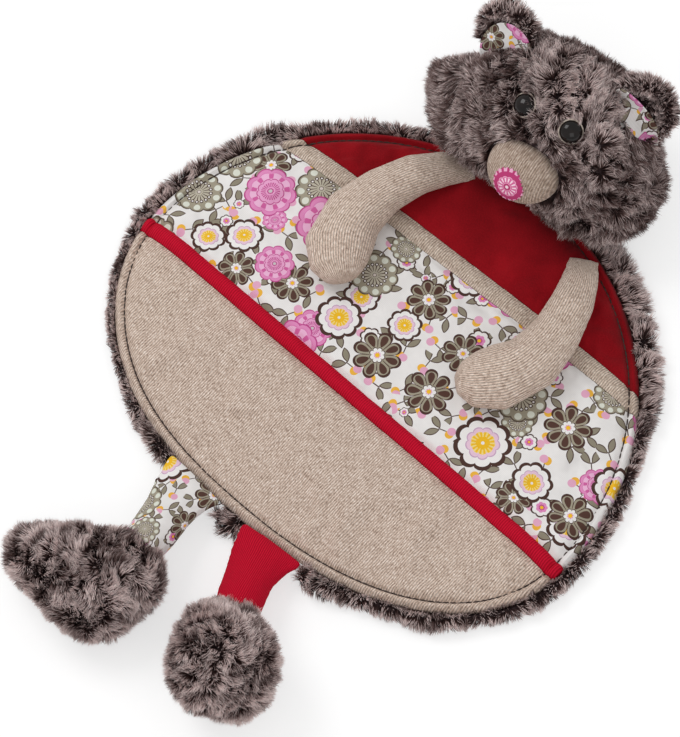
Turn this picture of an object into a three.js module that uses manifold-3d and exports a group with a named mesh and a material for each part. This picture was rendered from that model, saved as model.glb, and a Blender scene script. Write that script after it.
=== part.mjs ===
// Comfort blanket: a round patchwork blanket backed with plush fur, with a stuffed
// animal head on its upper edge, two stuffed arms lying on it and two legs with
// fur feet hanging from its lower edge.
//
// Millimetres. The origin is the centre of the blanket's round upper part, on the
// surface that it lies on. +Z is up, off that surface. +Y runs to the head and -Y
// to the feet. Left and right are as seen from above with the head at the top.

import * as THREE from 'three';
import { mergeVertices } from 'three/addons/utils/BufferGeometryUtils.js';
import Module from 'manifold-3d';

// Clearance between pieces that touch along a curved or cut face
const GAP = 0.3;

// Blanket outline, measured to the edge of the cotton front
const FRONT_RADIUS = 118;
const FRONT_DROP = 74;
const LOWER_SQUARENESS = 2.2;

// Blanket layers
const BACK_THICKNESS = 6;
const CLOTH_THICKNESS = 1.2;
const CROWN_HEIGHT = 5.5;
const CROWN_RUN = 26;
const BATTING_INSET = 5;
const BATTING_CLEARANCE = 0.7;

// Fur rim that swells out past the front
const RIM_WIDTH = 8;
const RIM_RISE = 1.8;
const RIM_FOOT = 2.5;

// Seams of the patchwork: height of each seam at X = 0 and its rise per unit of X
const TAPE_CENTRE = -4;
const TAPE_WIDTH = 7;
const TAPE_PROUD = 0.9;
const KNIT_BAND_BASE = 65.2;
const KNIT_BAND_WIDTH = 8.2;
const KNIT_BAND_SLOPE = 0.047;
const SEAM_GAP = 0.3;

// Head: half sizes of the skull, its place over the blanket's edge and its pose. The
// face is turned about the upright and tilted down from straight up.
const HEAD_HALF_WIDTH = 49;
const HEAD_HALF_DEPTH = 35.5;
const HEAD_HALF_HEIGHT = 35.5;
const HEAD_PLACE = [-10, 137];
const HEAD_TURN = 10;
const FACE_TILT = 55;
const REST_CUT = 0.5;

// Fur covers: knit backing and packed pile
const FUR_THICKNESS = 4;

// Eyes, with their shank and the washer that locks them inside the fur
const EYE_RADIUS = 4.9;
const EYE_DOME = 3.6;
const EYE_BACK = 0.8;
const EYE_SHANK_RADIUS = 1.3;
const EYE_SHANK = 8;
const EYE_SPACING = 22.5;
const EYE_UP = 17;
const EYE_SINK = 2.3;
const EYE_SPLAY = 17;
const EYE_RAISE = 27;
const WASHER_RADIUS = 4.6;
const WASHER_DROP = 1;
const WASHER_THICKNESS = 1.2;

// Muzzle and nose
const MUZZLE_ACROSS = 1;
const MUZZLE_UP = -8;
const MUZZLE_SET_BACK = 4.5;
const MUZZLE_RADII = [15, 12.5, 15.5];
const NOSE_WIDTH = 12.5;
const NOSE_HEIGHT = 10;
const NOSE_LIFT = 0.9;
const NOSE_TURN = -6;
const NOSE_RAISE = 4;

// Ears
const EAR_RADIUS = 15;
const EAR_THICKNESS = 8;
const EAR_LINING_RADIUS = 10.5;
const EAR_LINING_RECESS = 2.2;
const EAR_UP = 25.5;
const EAR_FORWARD = 0;
const EAR_SPLAY = 14;

// Arms: the plan of the right arm's centre line, mirrored for the left one
const ARM_ROOT = [32, 107];
const ARM_ROUTE = [[41.5, 90.5], [48.5, 67], [48, 46], [40, 33.5], [31.5, 27]];
const ARM_ROOT_WIDTH = 13;
const ARM_ROOT_THICKNESS = 3;
const ARM_WIDTH = 23;
const ARM_THICKNESS = 15;
const HAND_WIDTH = 30;
const HAND_THICKNESS = 19;

// Legs: sewn in flat, swelling to a round ankle. Each ankle's place and the way the
// leg points there, in degrees from straight down the blanket.
const LEG_ROOT_THICKNESS = 5;
const LEG_WIDTH = 22;
const LEG_THICKNESS = 10;
const LEG_BEND = 11;
const ANKLE_RADIUS = 9.5;
const LEG_NOTCH_DEPTH = 1.2;
const LEG_NOTCH_CLEARANCE = 1;
const LEGS = {
  left: { root: -19.5, rootWidth: 30, ankle: [-13, -114], heading: -2, toeUp: false },
  right: { root: 23, rootWidth: 31, ankle: [35.5, -108.5], heading: 26, toeUp: true },
};

// Feet: the fur foot from its ankle to its sole, its half length from heel to toe, its
// half thickness, and how far its middle lies from the ankle towards the toe
const FOOT_DEPTH = 50.5;
const FOOT_HALF_LENGTH = 28;
const FOOT_HALF_THICKNESS = 18.5;
const FOOT_TOE_SHIFT = 9.5;

// Fineness of the curved surfaces
const OUTLINE_STEPS = 64;
const PANEL_COLUMNS = 16;
const HEAD_STEPS = 24;
const LIMB_STEPS = 14;
const FOOT_STEPS = 16;
const ROUND_STEPS = 16;

const UP = new THREE.Vector3(0, 0, 1);
const radians = THREE.MathUtils.degToRad;

// Finishes
const finish = (color, roughness = 0.95, metalness = 0) =>
  new THREE.MeshStandardMaterial({ color, roughness, metalness });
const finishes = {
  fur: () => finish(0x5b4f51),
  batting: () => finish(0xf3f1ec),
  stuffing: () => finish(0xf6f4f0),
  beigeKnit: () => finish(0xb5a595),
  crimsonRib: () => finish(0xc8102e, 0.8),
  floralCotton: () => finish(0xedeae8, 0.9),
  greigeKnit: () => finish(0x9e9282),
  redVelour: () => finish(0x8e1119, 0.9),
  eyeBlack: () => finish(0x0b0a0b, 0.12),
  washerWhite: () => finish(0xe8e6e0, 0.5),
  nosePink: () => finish(0xd85f9c, 0.85),
};

const comfortBlanket = new THREE.Group();

function addPiece(parent, name, geometry, material) {
  const mesh = new THREE.Mesh(geometry, material);
  mesh.name = name;
  parent.add(mesh);
  return mesh;
}

// Closed meshes

// Joins vertices in one place, drops collapsed triangles and turns the faces outward
function tidy(geometry) {
  geometry.deleteAttribute('normal');
  geometry.deleteAttribute('uv');
  const merged = mergeVertices(geometry, 1e-4);
  const position = merged.getAttribute('position');
  const corners = [0, 1, 2].map(() => new THREE.Vector3());
  const index = merged.getIndex();
  const kept = [];
  let volume = 0;
  for (let i = 0; i < index.count; i += 3) {
    const [a, b, c] = [index.getX(i), index.getX(i + 1), index.getX(i + 2)];
    if (a === b || b === c || c === a) continue;
    corners.forEach((corner, k) => corner.fromBufferAttribute(position, [a, b, c][k]));
    volume += corners[0].dot(corners[1].clone().cross(corners[2]));
    kept.push(a, b, c);
  }
  if (volume < 0) {
    kept.reverse();
  }
  merged.setIndex(kept);
  merged.computeVertexNormals();
  return merged;
}

// Skins a list of rings, from one pole to the other. A pole is a ring of one point. Each
// quad is split along its shorter diagonal, so that nested skins stay parallel.
function skin(rings) {
  const points = rings.flat();
  const starts = [];
  rings.reduce((start, ring) => {
    starts.push(start);
    return start + ring.length;
  }, 0);
  const triangles = [];
  for (let r = 0; r < rings.length - 1; r += 1) {
    const next = r + 1;
    const [countA, countB] = [rings[r].length, rings[next].length];
    const steps = Math.max(countA, countB);
    for (let k = 0; k < steps; k += 1) {
      const a = starts[r] + (k % countA);
      const b = starts[r] + ((k + 1) % countA);
      const c = starts[next] + (k % countB);
      const d = starts[next] + ((k + 1) % countB);
      if (countA === 1) triangles.push(a, d, c);
      else if (countB === 1) triangles.push(a, b, c);
      else if (points[b].distanceTo(points[c]) <= points[a].distanceTo(points[d])) {
        triangles.push(a, b, c, b, d, c);
      } else triangles.push(a, b, d, a, d, c);
    }
  }
  const geometry = new THREE.BufferGeometry().setFromPoints(points);
  geometry.setIndex(triangles);
  return tidy(geometry);
}

// Booleans

const wasm = await Module();
wasm.setup();

function toManifold(geometry) {
  const clean = tidy(geometry.clone());
  const mesh = new wasm.Mesh({
    numProp: 3,
    vertProperties: Float32Array.from(clean.getAttribute('position').array),
    triVerts: Uint32Array.from(clean.getIndex().array),
  });
  return new wasm.Manifold(mesh);
}

function fromManifold(manifold) {
  const mesh = manifold.getMesh();
  const geometry = new THREE.BufferGeometry();
  geometry.setAttribute('position', new THREE.BufferAttribute(mesh.vertProperties, 3));
  geometry.setIndex(new THREE.BufferAttribute(mesh.triVerts, 1));
  return tidy(geometry);
}

function cut(geometry, ...cutters) {
  const body = cutters.reduce((solid, cutter) => solid.subtract(toManifold(cutter)), toManifold(geometry));
  return fromManifold(body);
}

function common(geometry, other) {
  return fromManifold(toManifold(geometry).intersect(toManifold(other)));
}

// Lofts

// One section of a loft: an ellipse about a centre, squarer as its power grows past 2
function section({ centre, across, over, a, b, power = 2 }, steps, inset = 0) {
  const ring = [];
  for (let k = 0; k < steps; k += 1) {
    const angle = (k / steps) * 2 * Math.PI;
    const [c, s] = [Math.cos(angle), Math.sin(angle)];
    const x = Math.sign(c) * Math.abs(c) ** (2 / power) * (a - inset);
    const y = Math.sign(s) * Math.abs(s) ** (2 / power) * (b - inset);
    ring.push(centre.clone().addScaledVector(across, x).addScaledVector(over, y));
  }
  return ring;
}

// Height field of the blanket

// 0 at the centre of the front and 1 on its edge
function reach(x, y) {
  if (y >= 0) return Math.hypot(x, y) / FRONT_RADIUS;
  const across = Math.abs(x / FRONT_RADIUS) ** LOWER_SQUARENESS;
  const down = Math.abs(y / FRONT_DROP) ** LOWER_SQUARENESS;
  return (across + down) ** (1 / LOWER_SQUARENESS);
}

// How far the padding lifts the front at a place
function crown(x, y) {
  const share = reach(x, y);
  if (share < 1e-6) return CROWN_HEIGHT;
  const toEdge = (1 / share - 1) * Math.hypot(x, y);
  const run = Math.min(Math.max(toEdge / CROWN_RUN, 0), 1);
  return CROWN_HEIGHT * (1 - (1 - run) ** 2);
}

const frontBottom = (x, y) => BACK_THICKNESS + GAP + crown(x, y);
const frontTop = (x, y) => frontBottom(x, y) + CLOTH_THICKNESS;
const PLATEAU = BACK_THICKNESS + GAP + CROWN_HEIGHT + CLOTH_THICKNESS;

// A point on the edge of the front, and the direction that points out of it
function edgePoint(angle) {
  const [c, s] = [Math.cos(angle), Math.sin(angle)];
  if (s >= 0) return new THREE.Vector2(c, s).multiplyScalar(FRONT_RADIUS);
  const power = 2 / LOWER_SQUARENESS;
  return new THREE.Vector2(
    Math.sign(c) * Math.abs(c) ** power * FRONT_RADIUS,
    -(Math.abs(s) ** power) * FRONT_DROP,
  );
}

function edgeNormal({ x, y }) {
  if (y >= 0) return new THREE.Vector2(x, y).normalize();
  const power = LOWER_SQUARENESS - 1;
  return new THREE.Vector2(
    (Math.sign(x) * Math.abs(x / FRONT_RADIUS) ** power) / FRONT_RADIUS,
    -(Math.abs(y / FRONT_DROP) ** power) / FRONT_DROP,
  ).normalize();
}

// A ring that runs round the blanket at a distance outside the front's edge
function outlineRing(outside, height) {
  const ring = [];
  for (let k = 0; k < OUTLINE_STEPS; k += 1) {
    const point = edgePoint((k / OUTLINE_STEPS) * 2 * Math.PI);
    const place = point.clone().addScaledVector(edgeNormal(point), outside);
    const z = typeof height === 'function' ? height(place.x, place.y) : height;
    ring.push(new THREE.Vector3(place.x, place.y, z));
  }
  return ring;
}

const centreAt = (z) => [new THREE.Vector3(0, 0, z)];

// Where the seam line y = base + slope * x meets the edge of the front
function seamEnd(base, slope, side) {
  let [inside, outside] = [0, side * FRONT_RADIUS * 1.01];
  for (let k = 0; k < 40; k += 1) {
    const middle = (inside + outside) / 2;
    if (reach(middle, base + slope * middle) < 1) inside = middle;
    else outside = middle;
  }
  return inside;
}

// A flat-laid panel of cloth that follows the padding, built of rows from one seam to
// the next. A row is the height of its line at X = 0 and its slope.
function clothPanel(rows, thickness = CLOTH_THICKNESS) {
  const rings = rows.map(({ base, slope, point }) => {
    const low = point ? 0 : seamEnd(base, slope, -1);
    const high = point ? 0 : seamEnd(base, slope, 1);
    const top = [];
    const bottom = [];
    for (let k = 0; k <= PANEL_COLUMNS; k += 1) {
      const share = 0.5 - 0.5 * Math.cos((k / PANEL_COLUMNS) * Math.PI);
      const x = low + (high - low) * share;
      const y = base + slope * x;
      top.push(new THREE.Vector3(x, y, frontBottom(x, y) + thickness));
      bottom.push(new THREE.Vector3(x, y, frontBottom(x, y)));
    }
    return [top, bottom];
  });
  const triangles = [];
  const quad = (a, b, c, d) => triangles.push(a, b, c, a, c, d);
  for (let r = 0; r < rings.length - 1; r += 1) {
    const [[topA, bottomA], [topB, bottomB]] = [rings[r], rings[r + 1]];
    for (let k = 0; k < PANEL_COLUMNS; k += 1) {
      quad(topA[k], topA[k + 1], topB[k + 1], topB[k]);
      quad(bottomA[k], bottomB[k], bottomB[k + 1], bottomA[k + 1]);
    }
    quad(bottomA[0], topA[0], topB[0], bottomB[0]);
    const end = PANEL_COLUMNS;
    quad(topA[end], bottomA[end], bottomB[end], topB[end]);
  }
  const [firstTop, firstBottom] = rings[0];
  const [lastTop, lastBottom] = rings[rings.length - 1];
  for (let k = 0; k < PANEL_COLUMNS; k += 1) {
    quad(firstBottom[k], firstBottom[k + 1], firstTop[k + 1], firstTop[k]);
    quad(lastTop[k], lastTop[k + 1], lastBottom[k + 1], lastBottom[k]);
  }
  const geometry = new THREE.BufferGeometry().setFromPoints(triangles);
  return tidy(geometry);
}

// Rows between two seams that may slope differently
function seamRows(from, to, count) {
  const rows = [];
  for (let k = 0; k <= count; k += 1) {
    const share = k / count;
    rows.push({
      base: from.base + (to.base - from.base) * share,
      slope: from.slope + (to.slope - from.slope) * share,
    });
  }
  return rows;
}

// Rows that close up towards a point on the edge of the front, closer as they near it
function closingRows(seam, tip, count) {
  const rows = [];
  for (let k = 0; k < count; k += 1) {
    const share = Math.sin(((k / count) * Math.PI) / 2);
    rows.push({ base: seam.base + (tip - seam.base) * share, slope: seam.slope * (1 - share) });
  }
  rows.push({ base: tip, slope: 0, point: true });
  return rows;
}

// Places on the blanket's edge

// Height and slope of the front's lower edge at X
function lowerEdge(x) {
  const down = (1 - Math.abs(x / FRONT_RADIUS) ** LOWER_SQUARENESS) ** (1 / LOWER_SQUARENESS);
  const normal = edgeNormal(new THREE.Vector2(x, -FRONT_DROP * down));
  return { y: -FRONT_DROP * down, out: new THREE.Vector3(normal.x, normal.y, 0) };
}

const LEG_HINGE_HEIGHT = BACK_THICKNESS + GAP + LEG_ROOT_THICKNESS / 2;

function legHinge(leg) {
  const { y, out } = lowerEdge(leg.root);
  const centre = new THREE.Vector3(leg.root, y, LEG_HINGE_HEIGHT);
  centre.addScaledVector(out, LEG_ROOT_THICKNESS / 2 + GAP);
  return { centre, out, along: new THREE.Vector3().crossVectors(UP, out) };
}

// Blanket

function buildBackPanel() {
  const edge = BACK_THICKNESS + RIM_RISE;
  const body = skin([
    centreAt(0),
    outlineRing(RIM_WIDTH - RIM_FOOT, 0),
    outlineRing(RIM_WIDTH - 0.6, RIM_FOOT * 0.6),
    outlineRing(RIM_WIDTH, RIM_FOOT * 1.5),
    outlineRing(RIM_WIDTH * 0.75, edge - 0.6),
    outlineRing(RIM_WIDTH * 0.4, edge),
    outlineRing(GAP, BACK_THICKNESS + GAP),
    outlineRing(-GAP, BACK_THICKNESS),
    centreAt(BACK_THICKNESS),
  ]);
  // The rim gives way where each leg is sewn in, so that the leg can hang down
  const notches = Object.values(LEGS).map((leg) => {
    const { y, out } = lowerEdge(leg.root);
    const { along } = legHinge(leg);
    const depth = 2 * RIM_WIDTH + LEG_NOTCH_DEPTH;
    const width = leg.rootWidth + 2 * LEG_NOTCH_CLEARANCE;
    const box = new THREE.BoxGeometry(width, depth, 3 * BACK_THICKNESS);
    const centre = new THREE.Vector3(leg.root, y, BACK_THICKNESS);
    centre.addScaledVector(out, depth / 2 - LEG_NOTCH_DEPTH);
    box.applyMatrix4(new THREE.Matrix4().makeBasis(along, out.clone().negate(), UP).setPosition(centre));
    return box;
  });
  return cut(body, ...notches);
}

function buildBatting() {
  const top = (x, y) => frontBottom(x, y) - BATTING_CLEARANCE;
  const insets = [BATTING_INSET, BATTING_INSET + 7, BATTING_INSET + 14, CROWN_RUN + BATTING_INSET];
  return skin([
    centreAt(BACK_THICKNESS),
    outlineRing(-BATTING_INSET, BACK_THICKNESS),
    ...insets.map((inset) => outlineRing(-inset, top)),
    centreAt(top(0, 0)),
  ]);
}

const tapeLow = { base: TAPE_CENTRE - TAPE_WIDTH / 2, slope: 0 };
const tapeHigh = { base: TAPE_CENTRE + TAPE_WIDTH / 2, slope: 0 };
const bandLow = { base: KNIT_BAND_BASE, slope: KNIT_BAND_SLOPE };
const bandHigh = { base: KNIT_BAND_BASE + KNIT_BAND_WIDTH, slope: KNIT_BAND_SLOPE };
const raised = (seam, by) => ({ ...seam, base: seam.base + by });
const lifted = (seam) => raised(seam, SEAM_GAP / 2);
const lowered = (seam) => raised(seam, -SEAM_GAP / 2);

function buildBlanket() {
  addPiece(comfortBlanket, 'back_panel', buildBackPanel(), finishes.fur());
  addPiece(comfortBlanket, 'batting', buildBatting(), finishes.batting());
  const lower = clothPanel(closingRows(lowered(tapeLow), -FRONT_DROP, 7));
  addPiece(comfortBlanket, 'lower_panel', lower, finishes.beigeKnit());
  const tape = clothPanel(seamRows(lifted(tapeLow), lowered(tapeHigh), 1), CLOTH_THICKNESS + TAPE_PROUD);
  addPiece(comfortBlanket, 'ribbed_tape', tape, finishes.crimsonRib());
  const floral = clothPanel(seamRows(lifted(tapeHigh), lowered(bandLow), 5));
  addPiece(comfortBlanket, 'floral_band', floral, finishes.floralCotton());
  const knit = clothPanel(seamRows(lifted(bandLow), lowered(bandHigh), 1));
  addPiece(comfortBlanket, 'knit_band', knit, finishes.greigeKnit());
  const top = clothPanel(closingRows(lifted(bandHigh), FRONT_RADIUS, 6));
  addPiece(comfortBlanket, 'top_panel', top, finishes.redVelour());
}

// Head, in its own axes: X across the face, Y up to the crown, Z forward out of it

const head = new THREE.Group();

// Rings of the skull from under the chin to the crown: height, width and depth as
// shares of the half sizes, and how far the ring sits forward
const SKULL_RINGS = [
  { up: -0.95, width: 0.27, depth: 0.31, forward: -1 },
  { up: -0.84, width: 0.59, depth: 0.62, forward: -1 },
  { up: -0.59, width: 0.88, depth: 0.87, forward: -1 },
  { up: -0.22, width: 1, depth: 0.99, forward: 0 },
  { up: 0.17, width: 0.96, depth: 1, forward: 0 },
  { up: 0.51, width: 0.82, depth: 0.89, forward: -1 },
  { up: 0.79, width: 0.57, depth: 0.65, forward: -2 },
  { up: 0.94, width: 0.29, depth: 0.34, forward: -3 },
];
const SKULL_POWER = 2.1;

// The skull's surface, grown or shrunk by a distance
function skull(growth) {
  const rings = SKULL_RINGS.map(({ up, width, depth, forward }) => section({
    centre: new THREE.Vector3(0, up * HEAD_HALF_HEIGHT + growth * up * Math.abs(up), forward),
    across: new THREE.Vector3(1, 0, 0),
    over: new THREE.Vector3(0, 0, -1),
    a: width * HEAD_HALF_WIDTH + growth,
    b: depth * HEAD_HALF_DEPTH + growth,
    power: SKULL_POWER,
  }, HEAD_STEPS));
  const half = HEAD_HALF_HEIGHT + growth;
  const under = new THREE.Vector3(0, -half, SKULL_RINGS[0].forward);
  const top = new THREE.Vector3(0, half, SKULL_RINGS[SKULL_RINGS.length - 1].forward);
  return skin([[under], ...rings, [top]]);
}

// Half width, half depth and forward shift of the skull at a height
function skullAt(height) {
  const up = height / HEAD_HALF_HEIGHT;
  const above = Math.max(1, SKULL_RINGS.findIndex((ring) => ring.up > up));
  const [low, high] = [SKULL_RINGS[above - 1], SKULL_RINGS[above]];
  const share = (up - low.up) / (high.up - low.up);
  const between = (key) => low[key] + (high[key] - low[key]) * share;
  return {
    width: between('width') * HEAD_HALF_WIDTH,
    depth: between('depth') * HEAD_HALF_DEPTH,
    forward: between('forward'),
  };
}

// How far forward the face's surface is at a place on it
function faceForward(across, up) {
  const { width, depth, forward } = skullAt(up);
  return forward + depth * (1 - Math.abs(across / width) ** SKULL_POWER) ** (1 / SKULL_POWER);
}

// The head rests on the surface behind the blanket, flattened a little there
function placeHead() {
  const turn = radians(HEAD_TURN);
  const tilt = radians(FACE_TILT);
  const across = new THREE.Vector3(Math.cos(turn), Math.sin(turn), 0);
  const down = new THREE.Vector3(Math.sin(turn), -Math.cos(turn), 0);
  const forward = down.clone().multiplyScalar(Math.sin(tilt)).addScaledVector(UP, Math.cos(tilt));
  const upward = new THREE.Vector3().crossVectors(forward, across);
  const pose = new THREE.Matrix4().makeBasis(across, upward, forward);
  const posed = skull(0).applyMatrix4(pose);
  posed.computeBoundingBox();
  head.setRotationFromMatrix(pose);
  head.position.set(...HEAD_PLACE, -posed.boundingBox.min.z - REST_CUT);
  head.updateMatrix();
  comfortBlanket.add(head);
}

const intoHead = (geometry) => geometry.applyMatrix4(head.matrix.clone().invert());

// What the head leaves room for: the surface below it and the blanket under its chin
function headSeats(clearance) {
  const size = 4 * HEAD_HALF_WIDTH;
  const floor = new THREE.BoxGeometry(size, size, size);
  floor.translate(...HEAD_PLACE, clearance - GAP - size / 2);
  const edge = BACK_THICKNESS + RIM_RISE + clearance;
  const over = (x, y) => Math.max(edge, frontTop(x, y) + clearance);
  const blanket = skin([
    centreAt(-size / 2),
    outlineRing(RIM_WIDTH + clearance, -size / 2),
    outlineRing(RIM_WIDTH + clearance, RIM_FOOT * 1.5),
    outlineRing(RIM_WIDTH * 0.75 + clearance, edge),
    outlineRing(0, over),
    outlineRing(-CROWN_RUN / 4, over),
    outlineRing(-CROWN_RUN / 2, over),
    outlineRing(-CROWN_RUN, over),
    centreAt(PLATEAU + clearance),
  ]);
  return [intoHead(floor), intoHead(blanket)];
}

// Eyes point out of the face, turned to the side and raised
function eyeMatrix(side) {
  const direction = new THREE.Vector3(0, 0, 1)
    .applyAxisAngle(new THREE.Vector3(1, 0, 0), -radians(EYE_RAISE))
    .applyAxisAngle(new THREE.Vector3(0, 1, 0), side * radians(EYE_SPLAY));
  const across = (side * EYE_SPACING) / 2;
  const place = new THREE.Vector3(across, EYE_UP, faceForward(across, EYE_UP) - EYE_SINK);
  const turn = new THREE.Quaternion().setFromUnitVectors(new THREE.Vector3(0, 1, 0), direction);
  return new THREE.Matrix4().compose(place, turn, new THREE.Vector3(1, 1, 1));
}

// A round piece about the Y axis from a profile of radius and height pairs
const turned = (profile, steps = ROUND_STEPS) =>
  tidy(new THREE.LatheGeometry(profile.map(([r, y]) => new THREE.Vector2(r, y)), steps));

const plug = (radius, low, high) => turned([[0, low], [radius, low], [radius, high], [0, high]]);

function eyeGeometry() {
  const dome = [];
  for (let k = 0; k <= 5; k += 1) {
    const angle = ((k / 5) * Math.PI) / 2;
    dome.push([k === 5 ? 0 : EYE_RADIUS * Math.cos(angle), EYE_BACK + EYE_DOME * Math.sin(angle)]);
  }
  const shank = [[0, -EYE_SHANK], [EYE_SHANK_RADIUS, -EYE_SHANK], [EYE_SHANK_RADIUS, 0]];
  return turned([...shank, [EYE_RADIUS, 0], ...dome]);
}

const WASHER_SEAT = EYE_SINK - FUR_THICKNESS - WASHER_DROP;

function washerGeometry() {
  const bore = EYE_SHANK_RADIUS + GAP / 2;
  const low = WASHER_SEAT - WASHER_THICKNESS;
  const rim = [[WASHER_RADIUS, low], [WASHER_RADIUS, WASHER_SEAT]];
  return turned([[bore, low], ...rim, [bore, WASHER_SEAT], [bore, low]]);
}

const muzzleCentre = () =>
  [MUZZLE_ACROSS, MUZZLE_UP, faceForward(MUZZLE_ACROSS, MUZZLE_UP) - MUZZLE_SET_BACK];

// The muzzle's surface, grown by a distance
function muzzleBall(growth) {
  const ball = new THREE.SphereGeometry(1, 20, 12);
  ball.scale(...MUZZLE_RADII.map((radius) => radius + growth));
  return tidy(ball.translate(...muzzleCentre()));
}

function noseGeometry() {
  const half = NOSE_WIDTH / 2;
  const shape = new THREE.Shape();
  shape.moveTo(-half * 0.55, NOSE_HEIGHT / 2);
  shape.lineTo(half * 0.55, NOSE_HEIGHT / 2);
  shape.quadraticCurveTo(half * 1.25, NOSE_HEIGHT * 0.42, half * 0.8, NOSE_HEIGHT * 0.05);
  shape.lineTo(half * 0.35, -NOSE_HEIGHT * 0.4);
  shape.quadraticCurveTo(0, -NOSE_HEIGHT * 0.62, -half * 0.35, -NOSE_HEIGHT * 0.4);
  shape.lineTo(-half * 0.8, NOSE_HEIGHT * 0.05);
  shape.quadraticCurveTo(-half * 1.25, NOSE_HEIGHT * 0.42, -half * 0.55, NOSE_HEIGHT / 2);
  const depth = 2 * MUZZLE_RADII[2];
  const prism = new THREE.ExtrudeGeometry(shape, { depth, bevelEnabled: false, curveSegments: 4 });
  prism.rotateX(-radians(NOSE_RAISE)).rotateY(radians(NOSE_TURN));
  prism.translate(...muzzleCentre());
  const skinLayer = cut(muzzleBall(GAP + NOSE_LIFT), muzzleBall(GAP));
  return common(tidy(prism), skinLayer);
}

// An ear is a plump disc, its front hollowed for the lining
function earMatrix(side) {
  const splay = side * radians(EAR_SPLAY);
  const direction = new THREE.Vector3(0, 0, 1).applyAxisAngle(new THREE.Vector3(0, 1, 0), splay);
  const turn = new THREE.Quaternion().setFromUnitVectors(new THREE.Vector3(0, 1, 0), direction);
  const place = new THREE.Vector3(side * skullAt(EAR_UP).width, EAR_UP, EAR_FORWARD);
  return new THREE.Matrix4().compose(place, turn, new THREE.Vector3(1, 1, 1));
}

function earShell() {
  const half = EAR_THICKNESS / 2;
  const profile = [[0, -half], [EAR_RADIUS * 0.7, -half * 0.85]];
  for (let k = 0; k <= 4; k += 1) {
    const angle = -Math.PI / 3 + (k / 4) * ((2 * Math.PI) / 3);
    profile.push([EAR_RADIUS - half + half * Math.cos(angle), half * Math.sin(angle)]);
  }
  const floor = half - EAR_LINING_RECESS;
  profile.push([EAR_LINING_RADIUS + GAP, half * 0.8], [EAR_LINING_RADIUS + GAP, floor - CLOTH_THICKNESS]);
  profile.push([0, floor - CLOTH_THICKNESS]);
  return turned(profile, 20);
}

function earLining() {
  const floor = EAR_THICKNESS / 2 - EAR_LINING_RECESS;
  return turned([[0, floor - CLOTH_THICKNESS], [EAR_LINING_RADIUS, floor - CLOTH_THICKNESS],
    [EAR_LINING_RADIUS, floor], [EAR_LINING_RADIUS * 0.6, floor + 0.7], [0, floor + 1]], 20);
}

function buildHead() {
  placeHead();
  const sides = { left: -1, right: 1 };
  const atEyes = (radius, low, high) =>
    Object.values(sides).map((side) => plug(radius, low, high).applyMatrix4(eyeMatrix(side)));
  const sockets = atEyes(EYE_RADIUS + GAP, -GAP, HEAD_HALF_DEPTH / 2);
  const shankHoles = atEyes(EYE_SHANK_RADIUS + GAP, -EYE_SHANK, GAP);
  const pockets = atEyes(WASHER_RADIUS + GAP, -EYE_SHANK - GAP, WASHER_SEAT + GAP);
  const cavity = skull(-FUR_THICKNESS);
  const cover = cut(skull(0), cavity, ...headSeats(GAP), ...sockets, ...shankHoles, ...pockets);
  addPiece(head, 'head_cover', cover, finishes.fur());

  const wells = atEyes(WASHER_RADIUS + GAP, -EYE_SHANK - GAP, GAP);
  const stuffing = cut(skull(-FUR_THICKNESS - GAP), ...headSeats(2 * GAP), ...wells);
  addPiece(head, 'head_stuffing', stuffing, finishes.stuffing());

  const face = skull(GAP);
  const muzzle = cut(muzzleBall(0), muzzleBall(-CLOTH_THICKNESS), face);
  addPiece(head, 'muzzle_cover', muzzle, finishes.beigeKnit());
  const muzzleFill = cut(muzzleBall(-CLOTH_THICKNESS - GAP), face);
  addPiece(head, 'muzzle_stuffing', muzzleFill, finishes.stuffing());
  addPiece(head, 'nose_patch', noseGeometry(), finishes.nosePink());

  for (const [name, side] of Object.entries(sides)) {
    addPiece(head, `${name}_eye`, eyeGeometry().applyMatrix4(eyeMatrix(side)), finishes.eyeBlack());
    const washer = washerGeometry().applyMatrix4(eyeMatrix(side));
    addPiece(head, `${name}_eye_washer`, washer, finishes.washerWhite());
    const shell = cut(earShell().applyMatrix4(earMatrix(side)), face);
    addPiece(head, `${name}_ear`, shell, finishes.fur());
    const lining = cut(earLining().translate(0, GAP, 0).applyMatrix4(earMatrix(side)), face);
    addPiece(head, `${name}_ear_lining`, lining, finishes.floralCotton());
  }
}

// Limbs

// The closed end of a limb: a point past its last section, less an inset
function endPoint(sections, nose, inset) {
  const last = sections[sections.length - 1];
  return last.centre.clone().addScaledVector(last.heading, nose - inset);
}

// A sewn cover, open at its first section and closed past its last one
function coverOneEnd(sections, steps, wall, nose) {
  const outer = sections.map((s) => section(s, steps)).reverse();
  const inner = sections.slice(0, -1).map((s) => section(s, steps, wall));
  return skin([[endPoint(sections, nose, 0)], ...outer, ...inner, [endPoint(sections, nose, wall)]]);
}

// The stuffing inside such a cover
function fillOneEnd(sections, steps, wall, nose) {
  const inset = wall + GAP;
  const rings = sections.slice(0, -1).map((s) => section(s, steps, inset));
  return skin([[sections[0].centre], ...rings, [endPoint(sections, nose, inset)]]);
}

// Arms: flat where they are sewn down under the cheeks, swelling to a round hand

const ARM_NOSE = 2.5;

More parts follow.
